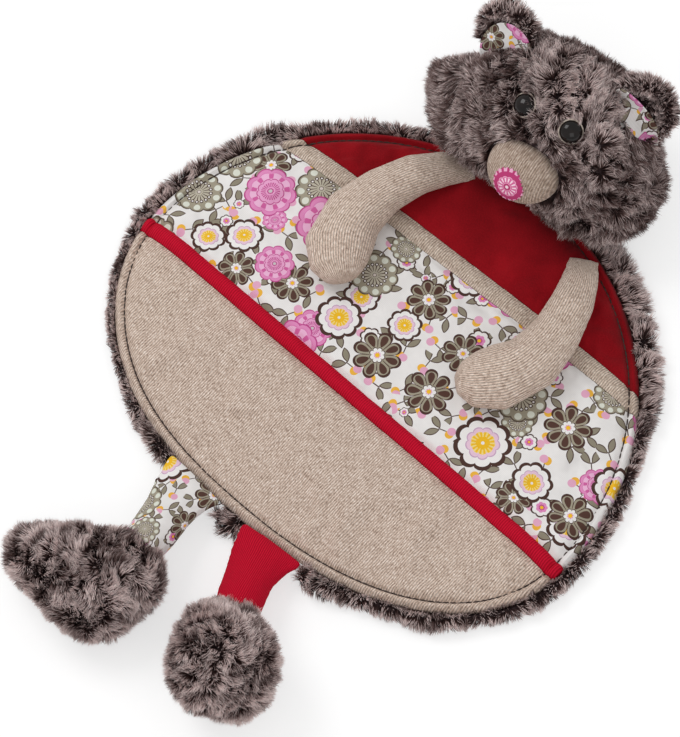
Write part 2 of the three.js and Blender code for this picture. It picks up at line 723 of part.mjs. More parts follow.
// Share of the way along the arm, width and thickness
const ARM_SHAPE = [
  { at: 0, width: ARM_ROOT_WIDTH, thickness: ARM_ROOT_THICKNESS },
  { at: 0.12, width: 0.72 * ARM_WIDTH, thickness: 0.5 * ARM_THICKNESS },
  { at: 0.27, width: 0.87 * ARM_WIDTH, thickness: 0.83 * ARM_THICKNESS },
  { at: 0.45, width: ARM_WIDTH, thickness: ARM_THICKNESS },
  { at: 0.63, width: 0.92 * HAND_WIDTH, thickness: 0.9 * HAND_THICKNESS },
  { at: 0.8, width: HAND_WIDTH, thickness: HAND_THICKNESS },
  { at: 0.91, width: 0.84 * HAND_WIDTH, thickness: 0.9 * HAND_THICKNESS },
  { at: 0.98, width: 0.5 * HAND_WIDTH, thickness: 0.55 * HAND_THICKNESS },
];

function armSections(side) {
  const route = [ARM_ROOT, ...ARM_ROUTE].map(([x, y]) => new THREE.Vector3(side * x, y, 0));
  const line = new THREE.CatmullRomCurve3(route);
  let least = 0;
  return ARM_SHAPE.map(({ at, width, thickness }) => {
    const centre = line.getPointAt(at);
    const heading = line.getTangentAt(at);
    const across = new THREE.Vector3().crossVectors(UP, heading).normalize();
    const under = frontTop(centre.x, centre.y) + 2 * GAP;
    least = Math.max(least, under + thickness / 2);
    centre.setZ(least);
    return { centre, across, over: UP, heading, a: width / 2, b: thickness / 2 };
  });
}

function buildArm(name, side) {
  const sections = armSections(side);
  const cover = coverOneEnd(sections, LIMB_STEPS, CLOTH_THICKNESS, ARM_NOSE);
  addPiece(comfortBlanket, `${name}_arm_cover`, cover, finishes.beigeKnit());
  const inside = fillOneEnd(sections.slice(1), LIMB_STEPS, CLOTH_THICKNESS, ARM_NOSE);
  addPiece(comfortBlanket, `${name}_arm_stuffing`, inside, finishes.stuffing());
}

// Legs

// The sewn end is rounded off about its hinge: how far it runs past the hinge and how
// thick it is there, as shares of the root's thickness
const ROOT_END = { past: 0.475, thickness: 0.31 };

// The foot lies on the surface, on its heel or on its side
const ankleHeight = ({ toeUp }) =>
  (toeUp ? FOOT_HALF_LENGTH - FOOT_TOE_SHIFT : FOOT_HALF_THICKNESS) - REST_CUT;

function ankle(leg) {
  const angle = radians(leg.heading);
  return {
    centre: new THREE.Vector3(...leg.ankle, ankleHeight(leg)),
    out: new THREE.Vector3(Math.sin(angle), -Math.cos(angle), 0),
  };
}

function legSections(leg) {
  const [start, end] = [legHinge(leg), ankle(leg)];
  const line = new THREE.CubicBezierCurve3(
    start.centre,
    start.centre.clone().addScaledVector(start.out, LEG_BEND),
    end.centre.clone().addScaledVector(end.out, -LEG_BEND),
    end.centre,
  );
  const round = 2 * ANKLE_RADIUS;
  const shape = [
    { at: 0, width: leg.rootWidth, thickness: LEG_ROOT_THICKNESS },
    { at: 0.22, width: 0.5 * (leg.rootWidth + LEG_WIDTH), thickness: 0.75 * LEG_THICKNESS },
    { at: 0.5, width: LEG_WIDTH, thickness: LEG_THICKNESS },
    { at: 0.78, width: 0.5 * (round + LEG_WIDTH), thickness: 0.5 * (round + LEG_THICKNESS) },
    { at: 1, width: round, thickness: round },
  ];
  const sections = shape.map(({ at, width, thickness }) => {
    const heading = line.getTangent(at).negate();
    const across = new THREE.Vector3().crossVectors(heading, UP).normalize();
    const over = new THREE.Vector3().crossVectors(across, heading);
    return { centre: line.getPoint(at), across, over, heading, a: width / 2, b: thickness / 2 };
  });
  const root = sections[0];
  const past = ROOT_END.past * LEG_ROOT_THICKNESS;
  const rounded = {
    ...root,
    centre: root.centre.clone().addScaledVector(root.heading, past),
    b: (ROOT_END.thickness * LEG_ROOT_THICKNESS) / 2,
  };
  return [...sections.reverse(), rounded];
}

// Feet, in their own axes: Z from the ankle to the sole, Y towards the toe

const FOOT_RINGS = [
  { at: 0.1, length: 0.52, thickness: 0.7, shift: 0.16 },
  { at: 0.24, length: 0.79, thickness: 0.92, shift: 0.58 },
  { at: 0.4, length: 0.965, thickness: 1, shift: 0.9 },
  { at: 0.63, length: 1, thickness: 1, shift: 1 },
  { at: 0.83, length: 0.8, thickness: 0.86, shift: 0.85 },
  { at: 0.95, length: 0.43, thickness: 0.49, shift: 0.74 },
];

function footSections() {
  const [across, over, heading] = [0, 1, 2].map((axis) => new THREE.Vector3().setComponent(axis, 1));
  const common = { across, over, heading };
  const opening = { ...common, centre: new THREE.Vector3(0, 0, GAP), a: ANKLE_RADIUS, b: ANKLE_RADIUS };
  const rings = FOOT_RINGS.map(({ at, length, thickness, shift }) => ({
    ...common,
    centre: new THREE.Vector3(0, shift * FOOT_TOE_SHIFT, at * FOOT_DEPTH),
    a: thickness * FOOT_HALF_THICKNESS,
    b: length * FOOT_HALF_LENGTH,
  }));
  return [opening, ...rings];
}

function buildFoot(name, leg) {
  const { centre, out } = ankle(leg);
  const toe = leg.toeUp ? UP : new THREE.Vector3().crossVectors(out, UP);
  const foot = new THREE.Group();
  const side = new THREE.Vector3().crossVectors(toe, out);
  foot.setRotationFromMatrix(new THREE.Matrix4().makeBasis(side, toe, out));
  foot.position.copy(centre);
  foot.updateMatrix();
  comfortBlanket.add(foot);
  const size = 4 * FOOT_DEPTH;
  const floor = new THREE.BoxGeometry(size, size, size).translate(0, 0, -size / 2);
  floor.translate(centre.x, centre.y, 0).applyMatrix4(foot.matrix.clone().invert());
  const sections = footSections();
  const nose = FOOT_DEPTH - sections[sections.length - 1].centre.z;
  const cover = cut(coverOneEnd(sections, FOOT_STEPS, FUR_THICKNESS, nose), floor);
  addPiece(foot, `${name}_foot_cover`, cover, finishes.fur());
  const inside = fillOneEnd(sections, FOOT_STEPS, FUR_THICKNESS, nose);
  addPiece(foot, `${name}_foot_stuffing`, inside, finishes.stuffing());
}

function buildLeg(name, leg) {
  const sections = legSections(leg);
  const cover = coverOneEnd(sections, LIMB_STEPS, CLOTH_THICKNESS, 0);
  const cloth = leg.toeUp ? finishes.crimsonRib() : finishes.floralCotton();
  addPiece(comfortBlanket, `${name}_leg_cover`, cover, cloth);
  const inside = fillOneEnd(sections, LIMB_STEPS, CLOTH_THICKNESS, 0);
  addPiece(comfortBlanket, `${name}_leg_stuffing`, inside, finishes.stuffing());
  buildFoot(name, leg);
}

buildBlanket();
buildHead();
buildArm('left', -1);
buildArm('right', 1);
Object.entries(LEGS).forEach(([name, leg]) => buildLeg(name, leg));

export default comfortBlanket;
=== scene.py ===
# %% [markdown]
# Comfort blanket, a round patchwork blanket with a stuffed plush head, arms and legs.
# The imported frame gives every piece its place and size. This file adds what cloth and
# fur look like: the pile, the print, the knit and the stitches. It works in metres in
# the frame's own axes, and it starts by loading the frame.

import math

import bpy
import numpy as np
from mathutils import Matrix, Vector


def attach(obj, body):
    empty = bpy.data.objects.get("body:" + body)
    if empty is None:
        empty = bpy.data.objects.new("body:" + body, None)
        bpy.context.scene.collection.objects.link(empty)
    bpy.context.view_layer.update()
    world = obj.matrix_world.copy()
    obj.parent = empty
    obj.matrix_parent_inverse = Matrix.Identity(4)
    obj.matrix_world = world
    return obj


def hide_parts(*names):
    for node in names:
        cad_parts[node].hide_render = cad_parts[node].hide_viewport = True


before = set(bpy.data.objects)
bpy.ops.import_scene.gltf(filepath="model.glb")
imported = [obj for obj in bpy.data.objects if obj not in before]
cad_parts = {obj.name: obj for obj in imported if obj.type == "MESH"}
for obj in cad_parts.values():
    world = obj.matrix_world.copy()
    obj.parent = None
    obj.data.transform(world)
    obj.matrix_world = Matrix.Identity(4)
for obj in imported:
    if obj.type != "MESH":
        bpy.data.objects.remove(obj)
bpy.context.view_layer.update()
MM = 0.001

# %% [markdown]
# The photograph looks down on the toy from 66 degrees above the surface and 43 degrees
# round from its axis, from far away. A long lens on a distant camera gives that flat
# look. The distance is chosen first, and the lens then follows from how tall the
# picture must be at that distance.

# %% Camera
VIEW_TURN = math.radians(42.9)
VIEW_RISE = math.radians(66)
VIEW_DISTANCE = 3.0
PICTURE_TALL = 737
PIXELS_PER_MM = 2.407
VIEW_HEIGHT = PICTURE_TALL / PIXELS_PER_MM * MM
SENSOR_MM = 36
AIM = Vector((-12.8, 5.2, 0)) * MM

toward_camera = Vector((
    math.sin(VIEW_TURN) * math.cos(VIEW_RISE),
    -math.cos(VIEW_TURN) * math.cos(VIEW_RISE),
    math.sin(VIEW_RISE),
))
bpy.ops.object.camera_add(location=AIM + toward_camera * VIEW_DISTANCE)
camera = bpy.context.object
camera.name = "camera"
camera.rotation_euler = toward_camera.to_track_quat("Z", "Y").to_euler()
camera.data.sensor_width = SENSOR_MM
camera.data.lens = SENSOR_MM * VIEW_DISTANCE / VIEW_HEIGHT
camera.data.clip_start = 0.1
camera.data.clip_end = 20
bpy.context.scene.camera = camera
print("lens", round(camera.data.lens, 1), "mm")

# %% [markdown]
# Materials are built from nodes. Colours are written as the hex values that a screen
# shows, so one function turns them into the linear values that the shaders work in. A
# second one adds a node, sets its properties, and fills or links its inputs, and two
# short ones use it for arithmetic and for colour ramps. The last one gives a shader its
# colour, its relief, and how rough, bright or downy it is.

# %% Colour and node helpers
def linear(code):
    """Linear colour with alpha for a hex code such as #B5A595."""
    parts = [int(code[k:k + 2], 16) / 255 for k in (1, 3, 5)]
    return tuple(p / 12.92 if p <= 0.04045 else ((p + 0.055) / 1.055) ** 2.4 for p in parts) + (1.0,)


def add(tree, kind, inputs=None, **settings):
    """Add a node of a kind, with its settings and with values or links on its inputs."""
    made = tree.nodes.new("ShaderNode" + kind)
    for name, value in settings.items():
        setattr(made, name, value)
    for key, value in (inputs or {}).items():
        if isinstance(value, bpy.types.NodeSocket):
            tree.links.new(value, made.inputs[key])
        else:
            made.inputs[key].default_value = value
    return made


def work_out(tree, operation, *values):
    """The result of a Math node on values or links."""
    return add(tree, "Math", dict(enumerate(values)), operation=operation).outputs[0]


def stops(tree, value, colours, sharp=False):
    """A value turned into colours by a ramp, whose stops are pairs of position and hex code."""
    ramp = add(tree, "ValToRGB", {0: value})
    band = ramp.color_ramp
    band.interpolation = "CONSTANT" if sharp else "LINEAR"
    while len(band.elements) < len(colours):
        band.elements.new(1.0)
    for element, (place, code) in zip(band.elements, colours):
        element.position = place
        element.color = linear(code)
    return ramp.outputs["Color"]


def new_material(name):
    """An empty material with its node tree and its main shader."""
    material = bpy.data.materials.new(name)
    material.use_nodes = True
    tree = material.node_tree
    return material, tree, tree.nodes["Principled BSDF"]


def dress(tree, shader, colour, relief=None, rough=0.5, specular=0.5, sheen=0.0):
    """Link a colour and a relief to a shader and set its even levels."""
    tree.links.new(colour, shader.inputs["Base Color"])
    if relief is not None:
        tree.links.new(relief.outputs[0], shader.inputs["Normal"])
    shader.inputs["Roughness"].default_value = rough
    shader.inputs["Specular IOR Level"].default_value = specular
    shader.inputs["Sheen Weight"].default_value = sheen


print("helpers ready")

# %% [markdown]
# A studio sweep is white card with large soft lamps. One wide lamp stands at the upper
# left and a weaker one fills from the right, and the world lights everything evenly.
# The card is pale, and a little light of its own that only the camera, glossy and glass
# rays see lifts it to the white of the page while the toy's shadow stays on it.

# %% Studio
world = bpy.data.worlds.new("studio")
bpy.context.scene.world = world
world.use_nodes = True
sky = world.node_tree.nodes["Background"].inputs
sky["Color"].default_value = (1, 1, 1, 1)
sky["Strength"].default_value = 0.68

LAMPS = [
    ("key_lamp", (-1.1, -0.2, 1.5), 0.9, 11.0),
    ("fill_lamp", (1.2, -0.9, 1.2), 1.0, 3.5),
]
for lamp_name, place, size, power in LAMPS:
    bpy.ops.object.light_add(type="AREA", location=place)
    lamp = bpy.context.object
    lamp.name = lamp_name
    lamp.data.size = size
    lamp.data.energy = power
    lamp.rotation_euler = Vector(place).to_track_quat("Z", "Y").to_euler()

bpy.ops.mesh.primitive_plane_add(size=6, location=(0, 0, -0.0002))
floor = bpy.context.object
floor.name = "white_card"
card, card_tree, card_shader = new_material("white_card")
ray = add(card_tree, "LightPath").outputs
seen = work_out(card_tree, "MAXIMUM", ray["Is Camera Ray"], ray["Is Glossy Ray"])
seen = work_out(card_tree, "MAXIMUM", seen, ray["Is Transmission Ray"])
card_tone = stops(card_tree, seen, [(0.0, "#EFEFEF"), (1.0, "#B6B6B6")])
dress(card_tree, card_shader, card_tone, rough=0.9)
lift = work_out(card_tree, "MULTIPLY", seen, 0.6)
glow = add(card_tree, "Emission", {"Color": (1, 1, 1, 1), "Strength": lift})
lit_card = add(card_tree, "AddShader", {0: card_shader.outputs[0], 1: glow.outputs[0]})
card_tree.links.new(lit_card.outputs[0], card_tree.nodes["Material Output"].inputs["Surface"])
floor.data.materials.append(card)
bpy.context.scene.view_settings.view_transform = "Standard"
print("lamps", [name for name, *_ in LAMPS])

# %% [markdown]
# Every cloth piece carries a map named cloth that holds the place of each point on the
# flat cloth before it was sewn, in metres. The patterns read that map, so ribs and
# flowers follow a sleeve round its bends as they would on the real one.
#
# Jersey is cotton yarn knitted in fine columns, here with brown and white fibres spun
# together, which the trade calls heather. To the eye it is a dull sandy grey with
# flecks, and with fine ribs about 1 mm apart. It has no gloss at all. A wave texture
# gives the ribs, as relief and as painted shade that darkens the yarn in the grooves
# between them, and noise that is stretched along them gives the flecks. At a scale of
# 0.3142 the wave repeats once in every millimetre of the map.

# %% Beige knit
WAVE_OF_1_MM = 0.3142


def on_cloth(tree, scale=(1000, 1000, 1000)):
    """The place on the flat cloth, in millimetres if no other scale is given."""
    cloth = add(tree, "UVMap", uv_map="cloth")
    return add(tree, "Mapping", {"Vector": cloth.outputs[0], "Scale": scale}).outputs[0]


def shaded(tree, colour, shade):
    """A colour multiplied by a grey, which leaves it as it is where the grey is 1."""
    grey = add(tree, "CombineColor", {0: shade, 1: shade, 2: shade}).outputs[0]
    mixed = add(tree, "Mix", {0: 1.0, 6: colour, 7: grey}, data_type="RGBA", blend_type="MULTIPLY")
    return mixed.outputs[2]


def knit_cloth(name, codes, rib_mm, darkest_groove_shade=0.62):
    """Heather jersey: mottled yarn in fine ribs along the cloth's second direction, with painted shade in
    the grooves.
    """
    material, tree, shader = new_material(name)
    place, slubs = on_cloth(tree), on_cloth(tree, (1700, 650, 1))
    flecks = add(tree, "TexNoise", {"Vector": slubs, "Scale": 1.0, "Detail": 3, "Roughness": 0.75})
    clouds = add(tree, "TexNoise", {"Vector": place, "Scale": 0.22, "Detail": 5, "Roughness": 0.7})
    blend = add(tree, "Mix", {0: 0.22, 2: flecks.outputs[0], 3: clouds.outputs[0]})
    yarn = stops(tree, blend.outputs[0], list(zip((0.3, 0.5, 0.69), codes)))
    ribs = add(tree, "TexWave", {"Vector": place, "Scale": WAVE_OF_1_MM / rib_mm,
                                 "Distortion": 0.8, "Detail": 2, "Detail Scale": 0.5}).outputs["Fac"]
    # Painted shade: the yarn is darkened in the grooves between the ribs.
    groove_painted_shade = add(tree, "MapRange", {0: ribs, 3: darkest_groove_shade, 4: 1.2})
    height = work_out(tree, "ADD", ribs, flecks.outputs[0])
    bump = add(tree, "Bump", {"Height": height, "Strength": 0.5, "Distance": 0.0003})
    dress(tree, shader, shaded(tree, yarn, groove_painted_shade.outputs[0]), bump, 0.95, 0.15, 0.08)
    return material


beige_knit = knit_cloth("beige_heather_jersey", ("#755C4E", "#CFB9A9", "#F8EBE1"), 1.0)
greige_knit = knit_cloth("greige_heather_jersey", ("#756152", "#C5B2A2", "#EFE2D5"), 1.0)
# Painted shade: the muzzle's knit is a darker copy of the beige one, for the shade of the head's fur over
# it.
muzzle_shaded_knit = knit_cloth("heather_jersey_painted_shade", ("#66503F", "#AE998A", "#DDCDC0"), 0.95, 0.7)
print("knits", beige_knit.name, greige_knit.name, muzzle_shaded_knit.name)

# %% [markdown]
# The tape along the seam and the right leg are cut from crimson ribbed jersey. It is
# one strong dye with no flecks. Its ribs stand up about 0.2 mm and catch the light on
# one side, which is all the pattern that the eye gets. Besides their relief, the red
# is painted darker in the grooves and lighter on the ribs, as painted shade and
# painted highlight.

# %% Crimson rib
RIB_MM = 1.0
crimson_rib, rib_tree, rib_shader = new_material("crimson_ribbed_jersey")
rib_place = on_cloth(rib_tree)
rib_wave = add(rib_tree, "TexWave", {"Vector": rib_place, "Scale": WAVE_OF_1_MM / RIB_MM,
                                     "Distortion": 0.6, "Detail": 1}).outputs["Fac"]
rib_fuzz = add(rib_tree, "TexNoise", {"Vector": rib_place, "Scale": 2.2, "Detail": 3}).outputs[0]
rib_mix = work_out(rib_tree, "ADD", rib_fuzz, rib_wave)
# Painted shade and highlight: the red follows the ribs, darker in the grooves and lighter on the tops.
rib_tone_and_painted_light = work_out(rib_tree, "MULTIPLY", rib_mix, 0.5)
rib_red_and_painted_light = stops(rib_tree, rib_tone_and_painted_light, [(0.15, "#94051D"), (0.5, "#BE0B29"), (0.85, "#D21A38")])
rib_bump = add(rib_tree, "Bump", {"Height": rib_mix, "Strength": 0.5, "Distance": 0.0003})
dress(rib_tree, rib_shader, rib_red_and_painted_light, rib_bump, 0.9, 0.1)
print("rib", RIB_MM, "mm")

# %% [markdown]
# The top panel is cotton velour, a knit whose loops are sheared to a short pile. It is
# deep red and soft, darker where the pile leans to the viewer and paler where it was
# brushed the other way, in patches of a few centimetres. These patches are painted
# into its colour, as painted shade and painted sheen. Sheen gives its pale edge.

# %% Red velour
red_velour, velour_tree, velour_shader = new_material("red_cotton_velour")
velour_place = on_cloth(velour_tree)
velour_brush_painted_shade, velour_pile = (add(velour_tree, "TexNoise", {
    "Vector": velour_place, "Scale": scale, "Detail": 3}).outputs[0] for scale in (0.035, 1.6))
# Painted shade and sheen: patches of brushed pile make the red darker or paler.
velour_tone_and_painted_shade = add(velour_tree, "Mix", {0: 0.3, 2: velour_brush_painted_shade, 3: velour_pile}).outputs[0]
velour_red = stops(velour_tree, velour_tone_and_painted_shade, [(0.3, "#680910"), (0.5, "#880F18"), (0.7, "#A0151F")])
velour_bump = add(velour_tree, "Bump", {"Height": velour_pile, "Strength": 0.35, "Distance": 0.0003})
dress(velour_tree, velour_shader, velour_red, velour_bump, 1.0, 0.05, 0.06)
print("velour ready")

# %% [markdown]
# The band, one leg, the ear linings and the nose are cut from cotton printed with
# flowers on white. A print is rows of screens, one ink over another. Here it is worked
# out by nodes, with motifs of its own. A Voronoi texture scatters centres over the
# cloth and gives each one a clear radius, so blooms never collide, and random numbers
# that turn it and pick its kind. A bloom is drawn from the distance and the angle to
# its centre: the angle scallops the edge, and a stepped colour ramp fills the rings.

# %% Places for the blooms
FULL_TURN = 6.2832


def flower_bed(tree, place, spacing, jitter):
    """Centres about a spacing apart: how far, at what angle, how much room, and two dice."""
    settings = {"Vector": place, "Scale": 1 / spacing, "Randomness": jitter}
    cells = add(tree, "TexVoronoi", settings, voronoi_dimensions="2D").outputs
    clear = add(tree, "TexVoronoi", settings, voronoi_dimensions="2D", feature="N_SPHERE_RADIUS").outputs
    off = add(tree, "VectorMath", {0: place, 1: cells["Position"]}, operation="SUBTRACT").outputs[0]
    parts = add(tree, "SeparateXYZ", {0: off}).outputs
    dice = add(tree, "SeparateColor", {0: cells["Color"]}).outputs
    angle = work_out(tree, "ARCTAN2", parts[1], parts[0])
    turned = work_out(tree, "MULTIPLY_ADD", dice[1], FULL_TURN, angle)
    away = add(tree, "VectorMath", {0: off}, operation="LENGTH").outputs["Value"]
    room = work_out(tree, "MULTIPLY", clear["Radius"], spacing * 0.97)
    size = add(tree, "MapRange", {0: dice[2], 3: 0.84, 4: 1.0}).outputs[0]
    room = work_out(tree, "MULTIPLY", room, size)
    share = work_out(tree, "DIVIDE", away, room)
    return {"off": off, "angle": turned, "share": share, "kind": dice[0], "size": dice[2]}


def paint(tree, under, ink, mask):
    """Lay an ink, a hex code or a colour, over a colour where the mask is 1."""
    ink = linear(ink) if isinstance(ink, str) else ink
    return add(tree, "Mix", {0: mask, 6: under, 7: ink}, data_type="RGBA").outputs[2]


def spread(tree, bed, count, power):
    """Petals by angle: 1 along the middle of each petal and 0 between two."""
    half = work_out(tree, "MULTIPLY", bed["angle"], count / 2)
    wave = work_out(tree, "COSINE", half)
    lobe = work_out(tree, "ABSOLUTE", wave)
    return work_out(tree, "POWER", lobe, power)


def bloom(tree, bed, petals, scallop, power, rings):
    """A bloom's rings of colour out to a scalloped edge, and 1 inside that edge."""
    lobe = spread(tree, bed, petals, power)
    edge = work_out(tree, "MULTIPLY_ADD", lobe, scallop, 1 - scallop)
    share = work_out(tree, "DIVIDE", bed["share"], edge)
    colour = stops(tree, share, rings, sharp=True)
    inside = work_out(tree, "LESS_THAN", share, 1.0)
    return colour, inside, lobe


print("flower tools ready")

# %% [markdown]
# A mask is a number that is 1 where an ink goes and 0 elsewhere. These masks are limits
# on a value, two masks at once, thin rays round a heart, and a ring of round beads.

# %% Masks
def between(tree, value, low, high):
    """1 where a value lies between two limits."""
    middle, half = (low + high) / 2, (high - low) / 2
    return work_out(tree, "COMPARE", value, middle, half)


def over(tree, value, limit):
    """1 where a value is over a limit."""
    return work_out(tree, "GREATER_THAN", value, limit)


def both(tree, first, second):
    """1 where two masks are both 1."""
    return work_out(tree, "MULTIPLY", first, second)


def rays(tree, bed, count, thin, low, high):
    """1 on thin rays, between two shares of the bloom's radius."""
    lines = over(tree, spread(tree, bed, count, 1.0), thin)
    return both(tree, lines, between(tree, bed["share"], low, high))


def beads(tree, bed, count, out, size):
    """1 on a ring of round beads, placed and sized as shares of the bloom's radius."""
    step = 2 * math.pi / count
    around = work_out(tree, "MULTIPLY_ADD", bed["angle"], 1 / step, 0.5)
    around = work_out(tree, "FRACT", around)
    sideways = work_out(tree, "MULTIPLY_ADD", around, step * out, -step * out / 2)
    outer = work_out(tree, "SUBTRACT", bed["share"], out)
    spot = add(tree, "CombineXYZ", {0: sideways, 1: outer}).outputs[0]
    gap = add(tree, "VectorMath", {0: spot}, operation="LENGTH").outputs["Value"]
    return work_out(tree, "LESS_THAN", gap, size)


print("masks ready")

# %% [markdown]
# Four large blooms: a pink rosette, a brown daisy with open petals, a grey-green
# scalloped bloom with pale spots and a ring of beads, and a white one with a thick
# brown outline and a yellow burst. Inks overlap a little at their edges, as on cloth.

# %% Four blooms
WHITE, PINK, ROSE = "#EFECEA", "#E08CBD", "#BF4A8C"
BROWN, SAGE, SUN = "#4A312A", "#A09885", "#F1BC22"


def rosette(tree, bed):
    colour, inside, lobe = bloom(tree, bed, 9, 0.15, 0.6, [
        (0.0, "#C9C2C4"), (0.08, ROSE), (0.13, "#E7A4CC"), (0.49, ROSE), (0.53, "#ECB6D6"),
        (0.78, "#DB7FB5"), (0.82, PINK), (0.945, ROSE)])
    colour = paint(tree, colour, ROSE, rays(tree, bed, 24, 0.66, 0.18, 0.36))
    veins = both(tree, between(tree, lobe, -1, 0.72), between(tree, bed["share"], 0.52, 0.72))
    return paint(tree, colour, "#D0619F", veins), inside


def daisy(tree, bed):
    colour, inside, lobe = bloom(tree, bed, 8, 0.5, 0.34, [
        (0.0, SUN), (0.1, "#E3A6CC"), (0.14, WHITE), (0.29, BROWN), (0.33, SAGE), (0.89, BROWN)])
    gaps = both(tree, between(tree, lobe, -1, 0.52), between(tree, bed["share"], 0.3, 1))
    colour = paint(tree, colour, BROWN, gaps)
    off = work_out(tree, "SUBTRACT", bed["share"], 0.6)
    bend = work_out(tree, "MULTIPLY", off, off)
    lens = work_out(tree, "MULTIPLY_ADD", bend, -2.2, lobe)
    return paint(tree, colour, "#54382F", over(tree, lens, 0.86)), inside


def sage_bloom(tree, bed):
    colour, inside, _ = bloom(tree, bed, 10, 0.14, 0.6, [
        (0.0, "#D9CFC8"), (0.07, BROWN), (0.09, "#BDB6A4"), (0.55, SAGE), (0.93, "#5E5144")])
    colour = paint(tree, colour, BROWN, rays(tree, bed, 16, 0.9, 0.15, 0.44))
    colour = paint(tree, colour, "#DDDFD2", beads(tree, bed, 10, 0.76, 0.135))
    colour = paint(tree, colour, BROWN, beads(tree, bed, 16, 0.48, 0.08))
    return paint(tree, colour, WHITE, beads(tree, bed, 16, 0.48, 0.04)), inside


def sun_bloom(tree, bed):
    colour, inside, _ = bloom(tree, bed, 9, 0.16, 0.55, [
        (0.0, WHITE), (0.06, SUN), (0.24, "#F3DB86"), (0.42, "#E9C7DA"), (0.55, "#C9A6C2"),
        (0.59, WHITE), (0.84, BROWN)])
    return paint(tree, colour, SUN, rays(tree, bed, 16, 0.66, 0.16, 0.4)), inside


print("blooms", [made.__name__ for made in (rosette, daisy, sage_bloom, sun_bloom)])

# %% [markdown]
# Between the large blooms grow small ones, and sprigs of two leaves with a two-coloured
# bud. A sprig is drawn in its own turned axes. The absolute value of one axis mirrors
# the leaf, so one lens shape gives both.

# %% Sprigs and small blooms
LEAF_TURN = math.radians(-38)
BUD_DOTS = (("#EDB440", (-4.1, 0.9, 0)), ("#E4A9C4", (-4.6, -0.7, 0)))
BUD_RADIUS = 1.8


def sprig(tree, bed, colour):
    """Two leaves, a stem and a bud round each centre of a bed, over a colour."""
    turn = work_out(tree, "MULTIPLY", bed["size"], FULL_TURN)
    own = add(tree, "VectorRotate", {"Vector": bed["off"], "Angle": turn},
              rotation_type="Z_AXIS").outputs[0]
    x, y, _ = add(tree, "SeparateXYZ", {0: own}).outputs
    aside = work_out(tree, "ABSOLUTE", y)
    folded = add(tree, "CombineXYZ", {0: x, 1: aside}).outputs[0]
    leaf = add(tree, "VectorRotate", {"Vector": folded, "Angle": LEAF_TURN}, rotation_type="Z_AXIS")
    leaf_x, leaf_y, _ = add(tree, "SeparateXYZ", {0: leaf.outputs[0]}).outputs
    along = add(tree, "MapRange", {0: leaf_x, 1: 0.5, 2: 7.4, 3: -1, 4: 1}, clamp=False).outputs[0]
    lens = work_out(tree, "MULTIPLY", along, along)
    lens = work_out(tree, "SUBTRACT", 1.0, lens)
    side = work_out(tree, "ABSOLUTE", leaf_y)
    side = work_out(tree, "MULTIPLY", side, -1)
    depth = work_out(tree, "MULTIPLY_ADD", lens, 1.6, side)
    stem = work_out(tree, "LESS_THAN", aside, 0.22)
    colour = paint(tree, colour, BROWN, both(tree, stem, between(tree, x, -3.0, 1.0)))
    colour = paint(tree, colour, BROWN, over(tree, depth, 0.0))
    colour = paint(tree, colour, "#8F8775", over(tree, depth, 0.42))
    for ink, centre in BUD_DOTS:
        gap = add(tree, "VectorMath", {0: own, 1: centre}, operation="DISTANCE").outputs["Value"]
        spot = work_out(tree, "LESS_THAN", gap, BUD_RADIUS)
        colour = paint(tree, colour, ink, spot)
    return colour


def small_bloom(tree, bed):
    return bloom(tree, bed, 7, 0.2, 0.6, [
        (0.0, SUN), (0.16, ROSE), (0.26, PINK), (0.5, WHITE), (0.84, BROWN)])[:2]


print("sprigs ready")

# %% [markdown]
# The print is one node group, so that several cloths can share it. A small bed of
# sprigs and small blooms lies under two beds of large ones. Each bed is moved by its
# own shift in millimetres, and in each a roll of the dice between two shares picks the
# kind of bloom that grows at a centre.

# %% The print
flower_print = bpy.data.node_groups.new("flower_print", "ShaderNodeTree")
flower_print.interface.new_socket("Place", in_out="INPUT", socket_type="NodeSocketVector")
flower_print.interface.new_socket("Colour", in_out="OUTPUT", socket_type="NodeSocketColor")
group_in = flower_print.nodes.new("NodeGroupInput").outputs[0]
ground = add(flower_print, "TexNoise", {"Vector": group_in, "Scale": 0.12, "Detail": 2})
ground = stops(flower_print, ground.outputs[0], [(0.3, "#E6E3E1"), (0.7, WHITE)])
small_bed = flower_bed(flower_print, group_in, 11.5, 0.8)
painted = sprig(flower_print, small_bed, ground)
LARGE = (rosette, daisy, sage_bloom, sun_bloom)
LAYERS = [
    ((31.3, 17.9, 0), 22.0, 0.6, ((0.0, 0.26), (0.26, 0.36), (0.36, 0.46), (0.46, 0.56))),
    ((7.3, 41.9, 0), 27.0, 0.4, ((0.0, 0.38), (0.38, 0.58), (0.58, 0.8), (0.8, 1.0))),
]
beds = [(small_bed, [small_bloom], [(-1, 0.3)])]
for shift, spacing, jitter, shares in LAYERS:
    moved = add(flower_print, "VectorMath", {0: group_in, 1: shift}, operation="ADD").outputs[0]
    beds.append((flower_bed(flower_print, moved, spacing, jitter), LARGE, shares))
for bed, kinds, shares in beds:
    for kind, (low, high) in zip(kinds, shares):
        colour, inside = kind(flower_print, bed)
        chosen = both(flower_print, between(flower_print, bed["kind"], low, high), inside)
        painted = paint(flower_print, painted, colour, chosen)
flower_print.links.new(painted, flower_print.nodes.new("NodeGroupOutput").inputs[0])
print("print has", len(flower_print.nodes), "nodes")

# %% [markdown]
# The printed cotton itself is a plain weave. The real threads are 0.2 mm apart, too fine
# to show, so the weave is drawn at 0.6 mm, and only as a faint relief and shade. Each
# piece was cut from another part of the print, so each material moves it.

# %% Printed cotton
WEAVE_MM = 0.6


